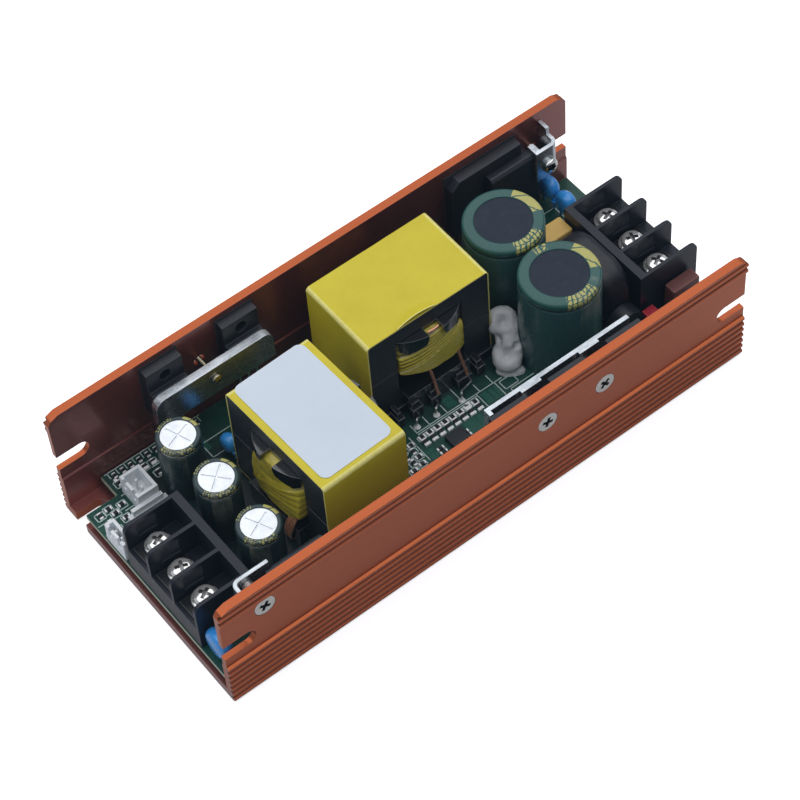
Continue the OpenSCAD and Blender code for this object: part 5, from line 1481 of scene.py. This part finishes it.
@dataclass
class BoostInductor(WoundPart):
    """The inductor in the middle: strands under its tape, a lifted tape edge, leads and pin lugs."""

    prefix: str = "boost_inductor"
    turn: float = 0.0
    front: float = -90.0
    skirt: Sequence[tuple[float, float]] = ((-50.0, 22.6), (-22.0, 20.0), (-9.0, 18.5), (30.0, 17.6), (50.0, 17.4))
    square: float = 3.0
    flare: float = 1.6
    arch: tuple[float, float] = (-9.4, 2.6)
    arch_h: float = 1.3
    arch_in: float = 3.0
    foil: float = 0.14
    leads: Sequence[Sequence[Point]] = (
        ((16.4, -0.2, 18.8), (16.6, -1.3, 15.6), (16.9, -2.0, 12.8), (17.2, -2.6, 10.3)),
        ((7.4, -1.0, 18.6), (7.6, -1.9, 15.4), (7.8, -2.3, 12.8), (8.0, -2.7, 10.3)))
    lead_r: float = 0.45
    wire_r: float = 0.3
    lugs: Sequence[tuple[float, float, float]] = (
        (-4.6, -2.6, 0.95), (-0.1, 3.2, -1.5), (5.7, 8.7, -1.5), (13.9, 18.3, -1.5), (20.0, 22.5, 0.95))
    # Black bars of the base in front of the core's lower edge: partly a base flange, partly a dark stand-in for the
    # shade under the core, and they hide the tape's lower rim.
    bars: Sequence[tuple[float, float]] = ((-8.5, 0.1), (18.7, 27.3))
    lug_front: float = -3.1
    lug_top: float = 10.6
    lug_base: float = 7.2

    def build(self) -> None:
        """Builds the part's pieces, then its tape edge, leads and lugs."""
        super().build()
        self.build_arch()
        self.build_wires("inductor_leads", self.leads, self.lead_r, ENAMEL)
        self.build_lugs()
        self.build_wires("inductor_wire", [
            [(7.9 + 0.2 * k, -0.3 + 0.2 * k, 33.2 - 0.5 * k), (9.4, -0.55 + 0.2 * k, 33.3 - 0.5 * k),
             (11.0, -0.3 + 0.2 * k, 33.2 - 0.5 * k)] for k in range(2)], self.wire_r, COPPER)

    def relief(self, off: float, z: float) -> tuple[float, float]:
        """Strands that show through the tape, with painted shade in the grooves between them, and a smooth skirt under
        them.
        """
        share = (off + 46.0) / 92.0
        low, high = 22.2 + 4.2 * share, 30.6 + 0.8 * share
        strand = (z - low) / (high - low) * 6.0 + 0.25 * noise.noise(Vector((off * 0.05, z * 0.4, 5.0)))
        if strand <= 0.0:
            return 0.12 - 0.1 * abs(noise.noise(Vector((off * 0.06, z * 0.2, 1.0)))), 0.0
        ridge = abs(math.sin(math.pi * strand))
        return 0.5 * (ridge - 1.0), max(0.0, 0.6 - ridge) * 2.4

    def build_arch(self) -> None:
        """Lifts the outer layer of tape into an arch at its edge."""
        bm = bmesh.new()
        layer = bm.faces.layers.float.new("edge")
        columns, rows = 30, 8
        start, end = self.arch
        sheets: list[list[list[bmesh.types.BMVert]]] = []
        for under in (0.0, self.foil):
            sheet = []
            for i in range(columns + 1):
                along = i / columns
                across = max(0.0, 1.0 - (2.0 * along - 1.0) ** 2)
                line = []
                for j in range(rows + 1):
                    back = j / rows
                    y = -self.tape_w / 2 - 0.05 + (0.4 + self.arch_in * across ** 0.5) * back
                    z = self.high + 0.16 + self.arch_h * across * (1.0 - back) ** 1.5 - under
                    line.append(self.point(bm, start + (end - start) * along, y, z))
                sheet.append(line)
            sheets.append(sheet)
            # The front row of each sheet, and the front rim joined below, take the paler edge colour: a painted
            # highlight along the lifted edge.
            for a, b in zip(sheet, sheet[1:]):
                for j in range(rows):
                    bm.faces.new((a[j], b[j], b[j + 1], a[j + 1]))[layer] = float(j == 0)
        top, base = sheets
        for i in range(columns):
            bm.faces.new((top[i][0], top[i + 1][0], base[i + 1][0], base[i][0]))[layer] = 1.0
            bm.faces.new((top[i][rows], top[i + 1][rows], base[i + 1][rows], base[i][rows]))
        for i in (0, columns):
            for j in range(rows):
                bm.faces.new((top[i][j], top[i][j + 1], base[i][j + 1], base[i][j]))
        piece(self.prefix + "_tape_arch", outward(bm), [TAPE], angle=50.0, weighted=False)

    def build_lugs(self) -> None:
        """Sets the stepped lugs that carry the pins, and the bars of the base beside the bobbin's rail, which also
        stand in for the shade under the core; the lugs' pale edges are a painted highlight.
        """
        front, top, base = self.lug_front, self.lug_top, self.lug_base
        boxes = [(x0, x1, front, back, top) for x0, x1, back in self.lugs]
        boxes += [(x0 + 0.4, x1 - 0.4, front + 0.9, back, top + 1.5) for x0, x1, back in self.lugs]
        boxes += [(x0, x1, 0.1, 1.0, top - 0.3) for x0, x1 in self.bars]
        blocks = [(((x0 + x1) / 2, (y0 + y1) / 2, (base + z) / 2), (x1 - x0, y1 - y0, z - base), 0.0)
                  for x0, x1, y0, y1, z in boxes]
        mesh = Repeats.block_mesh(blocks, LUG)
        bm = from_mesh(mesh)
        bpy.data.meshes.remove(mesh)
        round_edges(bm, 0.15, 1)
        piece(self.prefix + "_pin_lugs", bm, [LUG])


@dataclass(frozen=True)
class CanStyle:
    """What sets one size of capacitor apart: the sleeve's form, its colours and its print."""

    lip: float
    shoulder: float
    bead: float
    rim_h: float
    colour: Colour
    shade: Colour
    # side: painted shade, the sleeve's darker colour below its rim.
    side: Colour
    patch_half: float
    stripes_half: float
    extra_half: float
    wear: float
    end: Finish


BULK_CAN = CanStyle(3.0, 1.0, 2.9, 2.6, (0.018, 0.078, 0.069), (0.022, 0.087, 0.077), (0.025, 0.072, 0.072),
                    0.5, 0.45, 0.2, 0.3, DISC_END)
OUTPUT_CAN = CanStyle(1.25, 0.7, 2.3, 1.9, (0.020, 0.040, 0.043), (0.026, 0.049, 0.052), (0.016, 0.034, 0.034),
                      0.42, 0.8, 0.5, 0.42, CAN)


@dataclass
class Capacitor:
    """A can in a shrunk sleeve with a printed rim."""

    can: str
    sleeve: str
    style: CanStyle
    patch: float
    stripes_at: float
    extra: float
    side_print: float

    def build(self) -> None:
        """Builds the sleeve and the can's end."""
        low, high = node_box(self.sleeve)
        middle, style = (low + high) / 2, self.style
        r, top, base = (high.x - low.x) / 2, high.z, low.z
        inner_r, bead, s = r - style.lip, top - style.bead, style.shoulder
        outline = [(r - 0.02, base + 0.02), (r, base + 0.5), (r, bead - 0.5), (r - 0.05, bead - 0.2),
                   (r - 0.4, bead + 0.12), (r - 0.42, bead + 0.32), (r - 0.06, bead + 0.75)]
        for degrees in range(0, 91, 15):
            a = math.radians(degrees)
            outline.append((r - s + s * math.cos(a), top - s + s * math.sin(a)))
        outline += [(inner_r + 0.35, top), (inner_r + 0.1, top - 0.04), (inner_r, top - 0.14), (inner_r, top - 0.4),
                    (r - s - 0.2, top - 0.42), (r - 0.45, top - s - 0.2), (r - 0.45, base + 0.02)]
        bm = revolve(outline, Matrix.Translation((middle.x, middle.y, 0.0)), 96, True)
        finish = Sleeve("sleeve_" + self.sleeve, "sleeve", style.colour, style.shade, 0.24, 0.05, specular=0.4,
                        mottle_scale=160.0, relief=0.02, centre=(middle.x * MM, middle.y * MM, 0.0),
                        low=(top - style.rim_h) * MM, inner=(inner_r + 0.2) * MM, side=style.side,
                        patch=self.patch, patch_half=style.patch_half, stripes_at=self.stripes_at,
                        stripes_half=style.stripes_half, wear=style.wear, extra=self.extra,
                        extra_half=style.extra_half, side_print=self.side_print)
        piece("printed_" + self.sleeve, bm, [finish], [self.sleeve], angle=50.0, weighted=False)
        dressed_copy(self.can, style.end, 0.06, 1)


@dataclass
class TerminalBlock:
    """A three-way barrier terminal: moulded body, contact plates and screws."""

    end: str
    reach: float = 0.0
    front: float = 2.6
    edge_round: float = 0.32
    head_d: float = 5.7
    head_h: float = 1.9

    def build(self) -> None:
        """Rounds and dresses the body, with its front brought forward, the plates and the screws."""
        node = self.end + "_terminal_block"
        bm = copy_node(node)
        _, high = node_box(node)
        for vert in bm.verts:
            if vert.co.x / MM > high.x - self.front:
                vert.co.x += self.reach * MM
        round_edges(bm, self.edge_round, 2, 35.0)
        piece("dressed_" + node, bm, [TERMINAL], [node])
        dressed_copy(self.end + "_terminal_plates", PLATE, 0.12, 2)
        boxes = sorted(solid_boxes(self.end + "_terminal_screws"), key=lambda box: box[0].y)
        spots = [(((a.x + b.x) / 2, (a.y + b.y) / 2, b.z - self.head_h), (0.0, 0.0, 0.5 + 0.7 * k))
                 for k, (a, b) in enumerate(boxes)]
        low, high = boxes[0]
        screw = ScrewKind(HeadShape.PAN, self.head_d, self.head_h, length=high.z - self.head_h - low.z, recess_l=3.8,
                          recess_h=1.1, washer_d=7.0, washer_t=0.9)
        screw.place(self.end + "_clamp_screws", SCREW_HEAD, spots, [self.end + "_terminal_screws"])


@dataclass
class InputFilter:
    """Film capacitor, choke, fuse, pulse capacitor, thermistor and the disc capacitors."""

    far_disc: float = 0.8

    def build(self) -> None:
        """Builds each part."""
        for node, finish, width, steps, angle in (
                ("film_capacitor", FILM, 0.7, 3, 35.0), ("filter_choke", SLEEVING, 0.1, 1, 60.0),
                ("fuse", BROWN, 0.45, 2, 35.0), ("pulse_capacitor", RED, 0.3, 2, 35.0),
                ("inrush_thermistor", EPOXY, 0.9, 3, 50.0)):
            dressed_copy(node, finish, width, steps, angle)
        self.build_discs("input_disc_capacitors")
        self.build_discs("output_disc_capacitors")

    def build_discs(self, node: str) -> None:
        """Makes dipped discs: domed bodies that run down onto their leads."""
        parts = []
        for low, high in solid_boxes(node):
            wide, thick, middle = high.y - low.y, high.x - low.x, (low + high) / 2
            far = node.startswith("output") and middle.y > 0.0
            r = wide / 2 * (self.far_disc if far else 1.0)
            profile = [(0.0, -thick * 0.5)]
            for k in range(1, 12):
                a = math.radians(-90 + 15 * k)
                profile.append((r - thick * 0.42 + thick * 0.42 * math.cos(a), thick * 0.5 * math.sin(a)))
            profile.append((0.0, thick * 0.5))
            at = Matrix.Translation((middle.x, middle.y, high.z - wide + r)) @ Matrix.Rotation(math.pi / 2, 4, "Y")
            parts.append(revolve(profile, at, 40, shape=lambda r, z, a: r * (1.0 + 0.03 * math.cos(3 * a + 1.0))))
            for y in (middle.y - wide * 0.32, middle.y + wide * 0.32):
                leg = [(0.0, 0.0), (0.36, 0.0), (0.36, 1.0), (0.75, 1.9), (0.9, 3.0), (0.0, 3.2)]
                parts.append(revolve(leg, Matrix.Translation((middle.x, y, low.z)), 14))
        piece("dipped_" + node, merged(parts), [BLUE], [node], angle=60.0, weighted=False)


@dataclass
class SiliconeDab:
    """The grey dab of silicone by the bulk capacitors."""

    voxel: float = 0.3
    clear: float = 0.35
    board: float = 7.2
    along: Point = (0.789, -0.612, -0.053)
    upward: Point = (0.522, 0.623, 0.583)
    lobes: Sequence[tuple[Point, Point]] = (
        ((30.6, 0.2, 17.5), (4.0, 4.2, 2.6)), ((28.1, -4.9, 10.9), (4.0, 4.3, 2.6)),
        ((30.1, -2.4, 14.7), (3.5, 4.4, 2.5)), ((29.9, -4.0, 12.6), (3.3, 3.6, 2.4)),
        ((31.3, -1.2, 16.6), (3.3, 3.6, 2.3)), ((27.4, -6.9, 7.6), (3.9, 2.0, 1.3)))
    dents: Sequence[tuple[Point, float, float]] = (
        ((29.9, -1.2, 19.6), 1.7, 1.9), ((30.2, -5.6, 14.0), 0.8, 1.9), ((26.6, -6.2, 13.0), 1.7, 1.0),
        ((27.3, -2.0, 15.2), 1.4, 1.9))

    def build(self) -> None:
        """Melts the lobes together and presses them against their neighbours."""
        bm = bmesh.new()
        side, up = Vector(self.along).normalized(), Vector(self.upward).normalized()
        out = side.cross(up)
        facing = Matrix((side, up, out)).transposed().to_4x4()
        for place, radii in self.lobes:
            at = Matrix.Translation(Vector(place) * MM) @ facing @ Matrix.Diagonal((*[r * MM for r in radii], 1.0))
            bmesh.ops.create_icosphere(bm, subdivisions=4, radius=1.0, matrix=at)
        obj = linked("dab", to_mesh("dab", bm))
        melt = obj.modifiers.new("melt", "REMESH")
        melt.mode, melt.voxel_size = "VOXEL", self.voxel * MM
        soft = obj.modifiers.new("soft", "SMOOTH")
        soft.factor, soft.iterations = 0.5, 12
        done = evaluated(obj)
        bpy.data.objects.remove(obj)
        self.press(from_mesh(done))

    def press(self, bm: bmesh.types.BMesh) -> None:
        """Dents the melted lobes, keeps them off their neighbours and makes the piece."""
        cans = []
        for node in ("bulk_sleeve_a", "bulk_sleeve_b"):
            low, high = node_box(node)
            cans.append((Vector(((low.x + high.x) / 2, (low.y + high.y) / 2)), (high.x - low.x) / 2 + 0.08))
        core_low, core_high = node_box("boost_inductor_tape")
        for v in bm.verts:
            p = v.co / MM
            p += v.normal * (0.3 * noise.noise(p * 0.33) + 0.12 * noise.noise(p * 0.9))
            for place, reach, depth in self.dents:
                p -= v.normal * depth * math.exp(-(p - Vector(place)).length_squared / reach ** 2)
            for centre, r in cans:
                off = Vector((p.x, p.y)) - centre
                if off.length < r:
                    off = off.normalized() * r
                    p.x, p.y = centre.x + off.x, centre.y + off.y
            if p.y > core_low.y - 0.3:
                p.x = max(p.x, core_high.x + self.clear)
            p.z = max(p.z, self.board)
            v.co = p * MM
        piece("silicone_lobes", bm, [SILICONE], ["silicone_dab"], angle=80.0, weighted=False)


@dataclass
class WallPackages:
    """Power packages, clamp bars, clips and their screws on both walls."""

    head_h: float = 2.0

    def build(self) -> None:
        """Builds the packages, then what presses on them."""
        for node in ("rectifier_a", "rectifier_b", "transistor_a", "transistor_b", "transistor_c",
                     "output_rectifier", "bridge_rectifier", "boost_transistor"):
            body_low = self.body_low(node)
            dressed_copy(node, EPOXY, 0.22, 2, 35.0, TINNED, lambda c, n, z=body_low: c.z < z - 0.05)
        for node, width in (("far_clamp_bar", 0.2), ("near_clamp_bar", 0.18), ("output_clip", 0.22),
                            ("input_clip", 0.22)):
            # Faces that face up take the paler cut finish: partly cut steel, partly a painted highlight.
            dressed_copy(node, STEEL, width, 2, 35.0, STEEL_CUT_HIGHLIT, lambda c, n: n.z > 0.6)
        self.build_screws()

    @staticmethod
    def body_low(node: str) -> float:
        """Height of the underside of a package's body, above its leads."""
        bm = copy_node(node)
        best = max((f for f in bm.faces if f.normal.z < -0.9), key=lambda f: f.calc_area())
        z = best.calc_center_median().z / MM
        bm.free()
        return z

    def build_screws(self) -> None:
        """Sets the wall screws: countersunk outside, pan heads inside."""
        for node, name, turns in (("near_clamp_screws", "near_wall_screws", (0.3, 0.8)),
                                  ("output_clip_screw", "output_clip_wall_screw", (0.5,))):
            low, high = node_box(node)
            z, r = (low.z + high.z) / 2, (high.z - low.z) / 2
            spots = [((x, low.y - 0.02, z), (math.pi / 2, turn, 0.0))
                     for x, turn in zip((low.x + r, high.x - r), turns)]
            csk_screw(high.y - low.y).place(name, PLATED, spots, [node])
        for node, kind, finish in (
                ("far_clamp_screw", ScrewKind(HeadShape.PAN, 3.0, 1.2, 1.7, 1.0, 1.3, 0.4, 0.5), BRASSY),
                ("input_clip_screw", ScrewKind(HeadShape.PAN, 4.2, 1.7, 2.6, 1.0, 2.6, 0.8, 1.0), CHROME)):
            low, high = node_box(node)
            spot = ((low.x + high.x) / 2, low.y + self.head_h, (low.z + high.z) / 2)
            kind.length = high.y - low.y - self.head_h
            kind.place("dressed_" + node, finish, [(spot, (math.pi / 2, 0.0, 0.0))], [node])


@dataclass
class Connectors:
    """The two white pin headers."""

    edge_round: float = 0.14

    def build(self) -> None:
        """Rounds the housings."""
        for node in ("connector_a", "connector_b"):
            dressed_copy(node, NYLON, self.edge_round, 2)


@dataclass
class HiddenParts:
    """What is under the board or behind the packages."""

    floor_screw_l: float = 5.2

    def build(self) -> None:
        """Dresses the insulating sheet, the standoffs, the floor screws and the thermal pads."""
        for node, finish, width in (("insulating_sheet", SHEET, 0.05), ("board_standoffs", BRASS, 0.2),
                                    ("thermal_pads", PAD, 0.05)):
            dressed_copy(node, finish, width, 1)
        spots = [(((a.x + b.x) / 2, (a.y + b.y) / 2, a.z), (math.pi, 0.0, 0.4 * k))
                 for k, (a, b) in enumerate(solid_boxes("floor_screws"))]
        csk_screw(self.floor_screw_l).place("floor_csk_screws", PLATED, spots, ["floor_screws"])


# --------------------------------------------------------------------------- studio


@dataclass
class Studio:
    """Floor, light and camera."""

    place: Point = (-0.21944, -0.32806, 0.55893)
    right: Point = (0.7890119, -0.61208548, -0.05302438)
    down: Point = (-0.52209817, -0.62250795, -0.58300716)
    ahead: Point = (0.32384212, 0.48768353, -0.81073489)
    lens: float = 124.47
    sky: float = 0.36
    broad: float = 1.15
    small: float = 0.8
    haze: Point = (0.0030, 0.0048, 0.0070)
    floor_gap: float = 0.0002
    floor_glow: float = 0.55
    floor_bounce: float = 0.62

    def build(self) -> None:
        """Sets the stage."""
        view = bpy.context.scene.view_settings
        view.view_transform, view.look = "Standard", "None"
        view.use_curve_mapping = True
        view.curve_mapping.black_level = [-v for v in self.haze]
        view.curve_mapping.update()
        self.build_floor()
        self.build_lights()
        self.build_camera()

    def build_floor(self) -> None:
        """Lays a pale floor far past the frame."""
        bm = bmesh.new()
        bmesh.ops.create_grid(bm, x_segments=8, y_segments=8, size=3.0)
        for v in bm.verts:
            v.co.z = -self.floor_gap
        floor = linked("floor", to_mesh("floor", bm))
        floor.data.materials.append(self.paper())

    def paper(self) -> bpy.types.Material:
        """White paper that keeps its bounce on the part low.

        Returns:
            The floor's material.
        """
        mat, g = node_material("paper_floor")
        fibre = g.mix(g.noise(g.place(), 30.0), (0.95, 0.95, 0.95), (0.93, 0.93, 0.93))
        white = g.add("ShaderNodeBsdfPrincipled", {"Base Color": fibre, "Roughness": 0.9, "Specular IOR Level": 0.1,
                                                   "Emission Color": (1.0, 1.0, 1.0),
                                                   "Emission Strength": self.floor_glow})
        dim = g.add("ShaderNodeBsdfDiffuse", {"Color": (self.floor_bounce,) * 3})
        seen = g.add("ShaderNodeLightPath").outputs["Is Camera Ray"]
        both = g.add("ShaderNodeMixShader", {0: seen, 1: dim.outputs[0], 2: white.outputs[0]})
        g.add("ShaderNodeOutputMaterial", {"Surface": both.outputs[0]})
        return mat

    def build_lights(self) -> None:
        """Hangs a broad soft box behind and above, and a smaller one for highlights."""
        world = bpy.data.worlds.new("studio")
        world.use_nodes = True
        colour, strength = world.node_tree.nodes["Background"].inputs[:2]
        colour.default_value, strength.default_value = (0.88, 0.97, 1.12, 1.0), self.sky
        bpy.context.scene.world = world
        for name, at, size, glow in (("soft_box", (0.15, 0.25, 1.5), (3.2, 2.8), self.broad),
                                     ("highlight_box", (-0.95, 0.35, 1.1), (0.7, 0.7), self.small)):
            lamp = bpy.data.lights.new(name, "AREA")
            lamp.shape, lamp.size, lamp.size_y = "RECTANGLE", size[0], size[1]
            lamp.energy = glow * math.pi * size[0] * size[1]
            obj = linked(name, lamp)
            obj.location = at
            obj.rotation_euler = (-Vector(at)).to_track_quat("-Z", "Y").to_euler()

    def build_camera(self) -> None:
        """Stands the camera where the photograph was taken from."""
        cam = bpy.data.cameras.new("camera")
        cam.lens, cam.sensor_width, cam.clip_start = self.lens, 36.0, 0.01
        obj = linked("camera", cam)
        turn = Matrix((Vector(self.right), -Vector(self.down), -Vector(self.ahead))).transposed().to_4x4()
        obj.matrix_world = Matrix.Translation(self.place) @ turn
        bpy.context.scene.camera = obj


def main() -> None:
    """Builds every sub-assembly in order."""
    logging.basicConfig(level=logging.INFO, format="%(name)s: %(message)s")
    Studio().build()
    Channel().build()
    Board().build()
    OutputTransformer().build()
    BoostInductor().build()
    for can, sleeve, style, patch, stripes, extra, side in (
            ("bulk_capacitor_a", "bulk_sleeve_a", BULK_CAN, 0.14, -1.5, 0.0, 0.0),
            ("bulk_capacitor_b", "bulk_sleeve_b", BULK_CAN, 0.0, -1.62, 1.45, -1.3),
            ("output_capacitor_a", "output_sleeve_a", OUTPUT_CAN, 0.3, -2.2, 1.8, -2.3),
            ("output_capacitor_b", "output_sleeve_b", OUTPUT_CAN, 0.3, -2.0, 1.8, -2.0),
            ("output_capacitor_c", "output_sleeve_c", OUTPUT_CAN, 0.3, -2.1, 1.8, -2.2)):
        Capacitor(can, sleeve, style, patch, stripes, extra, side).build()
    for end, reach in (("output", 0.0), ("input", 2.3)):
        TerminalBlock(end, reach).build()
    InputFilter().build()
    SiliconeDab().build()
    WallPackages().build()
    Connectors().build()
    HiddenParts().build()


if __name__ == "__main__":
    main()
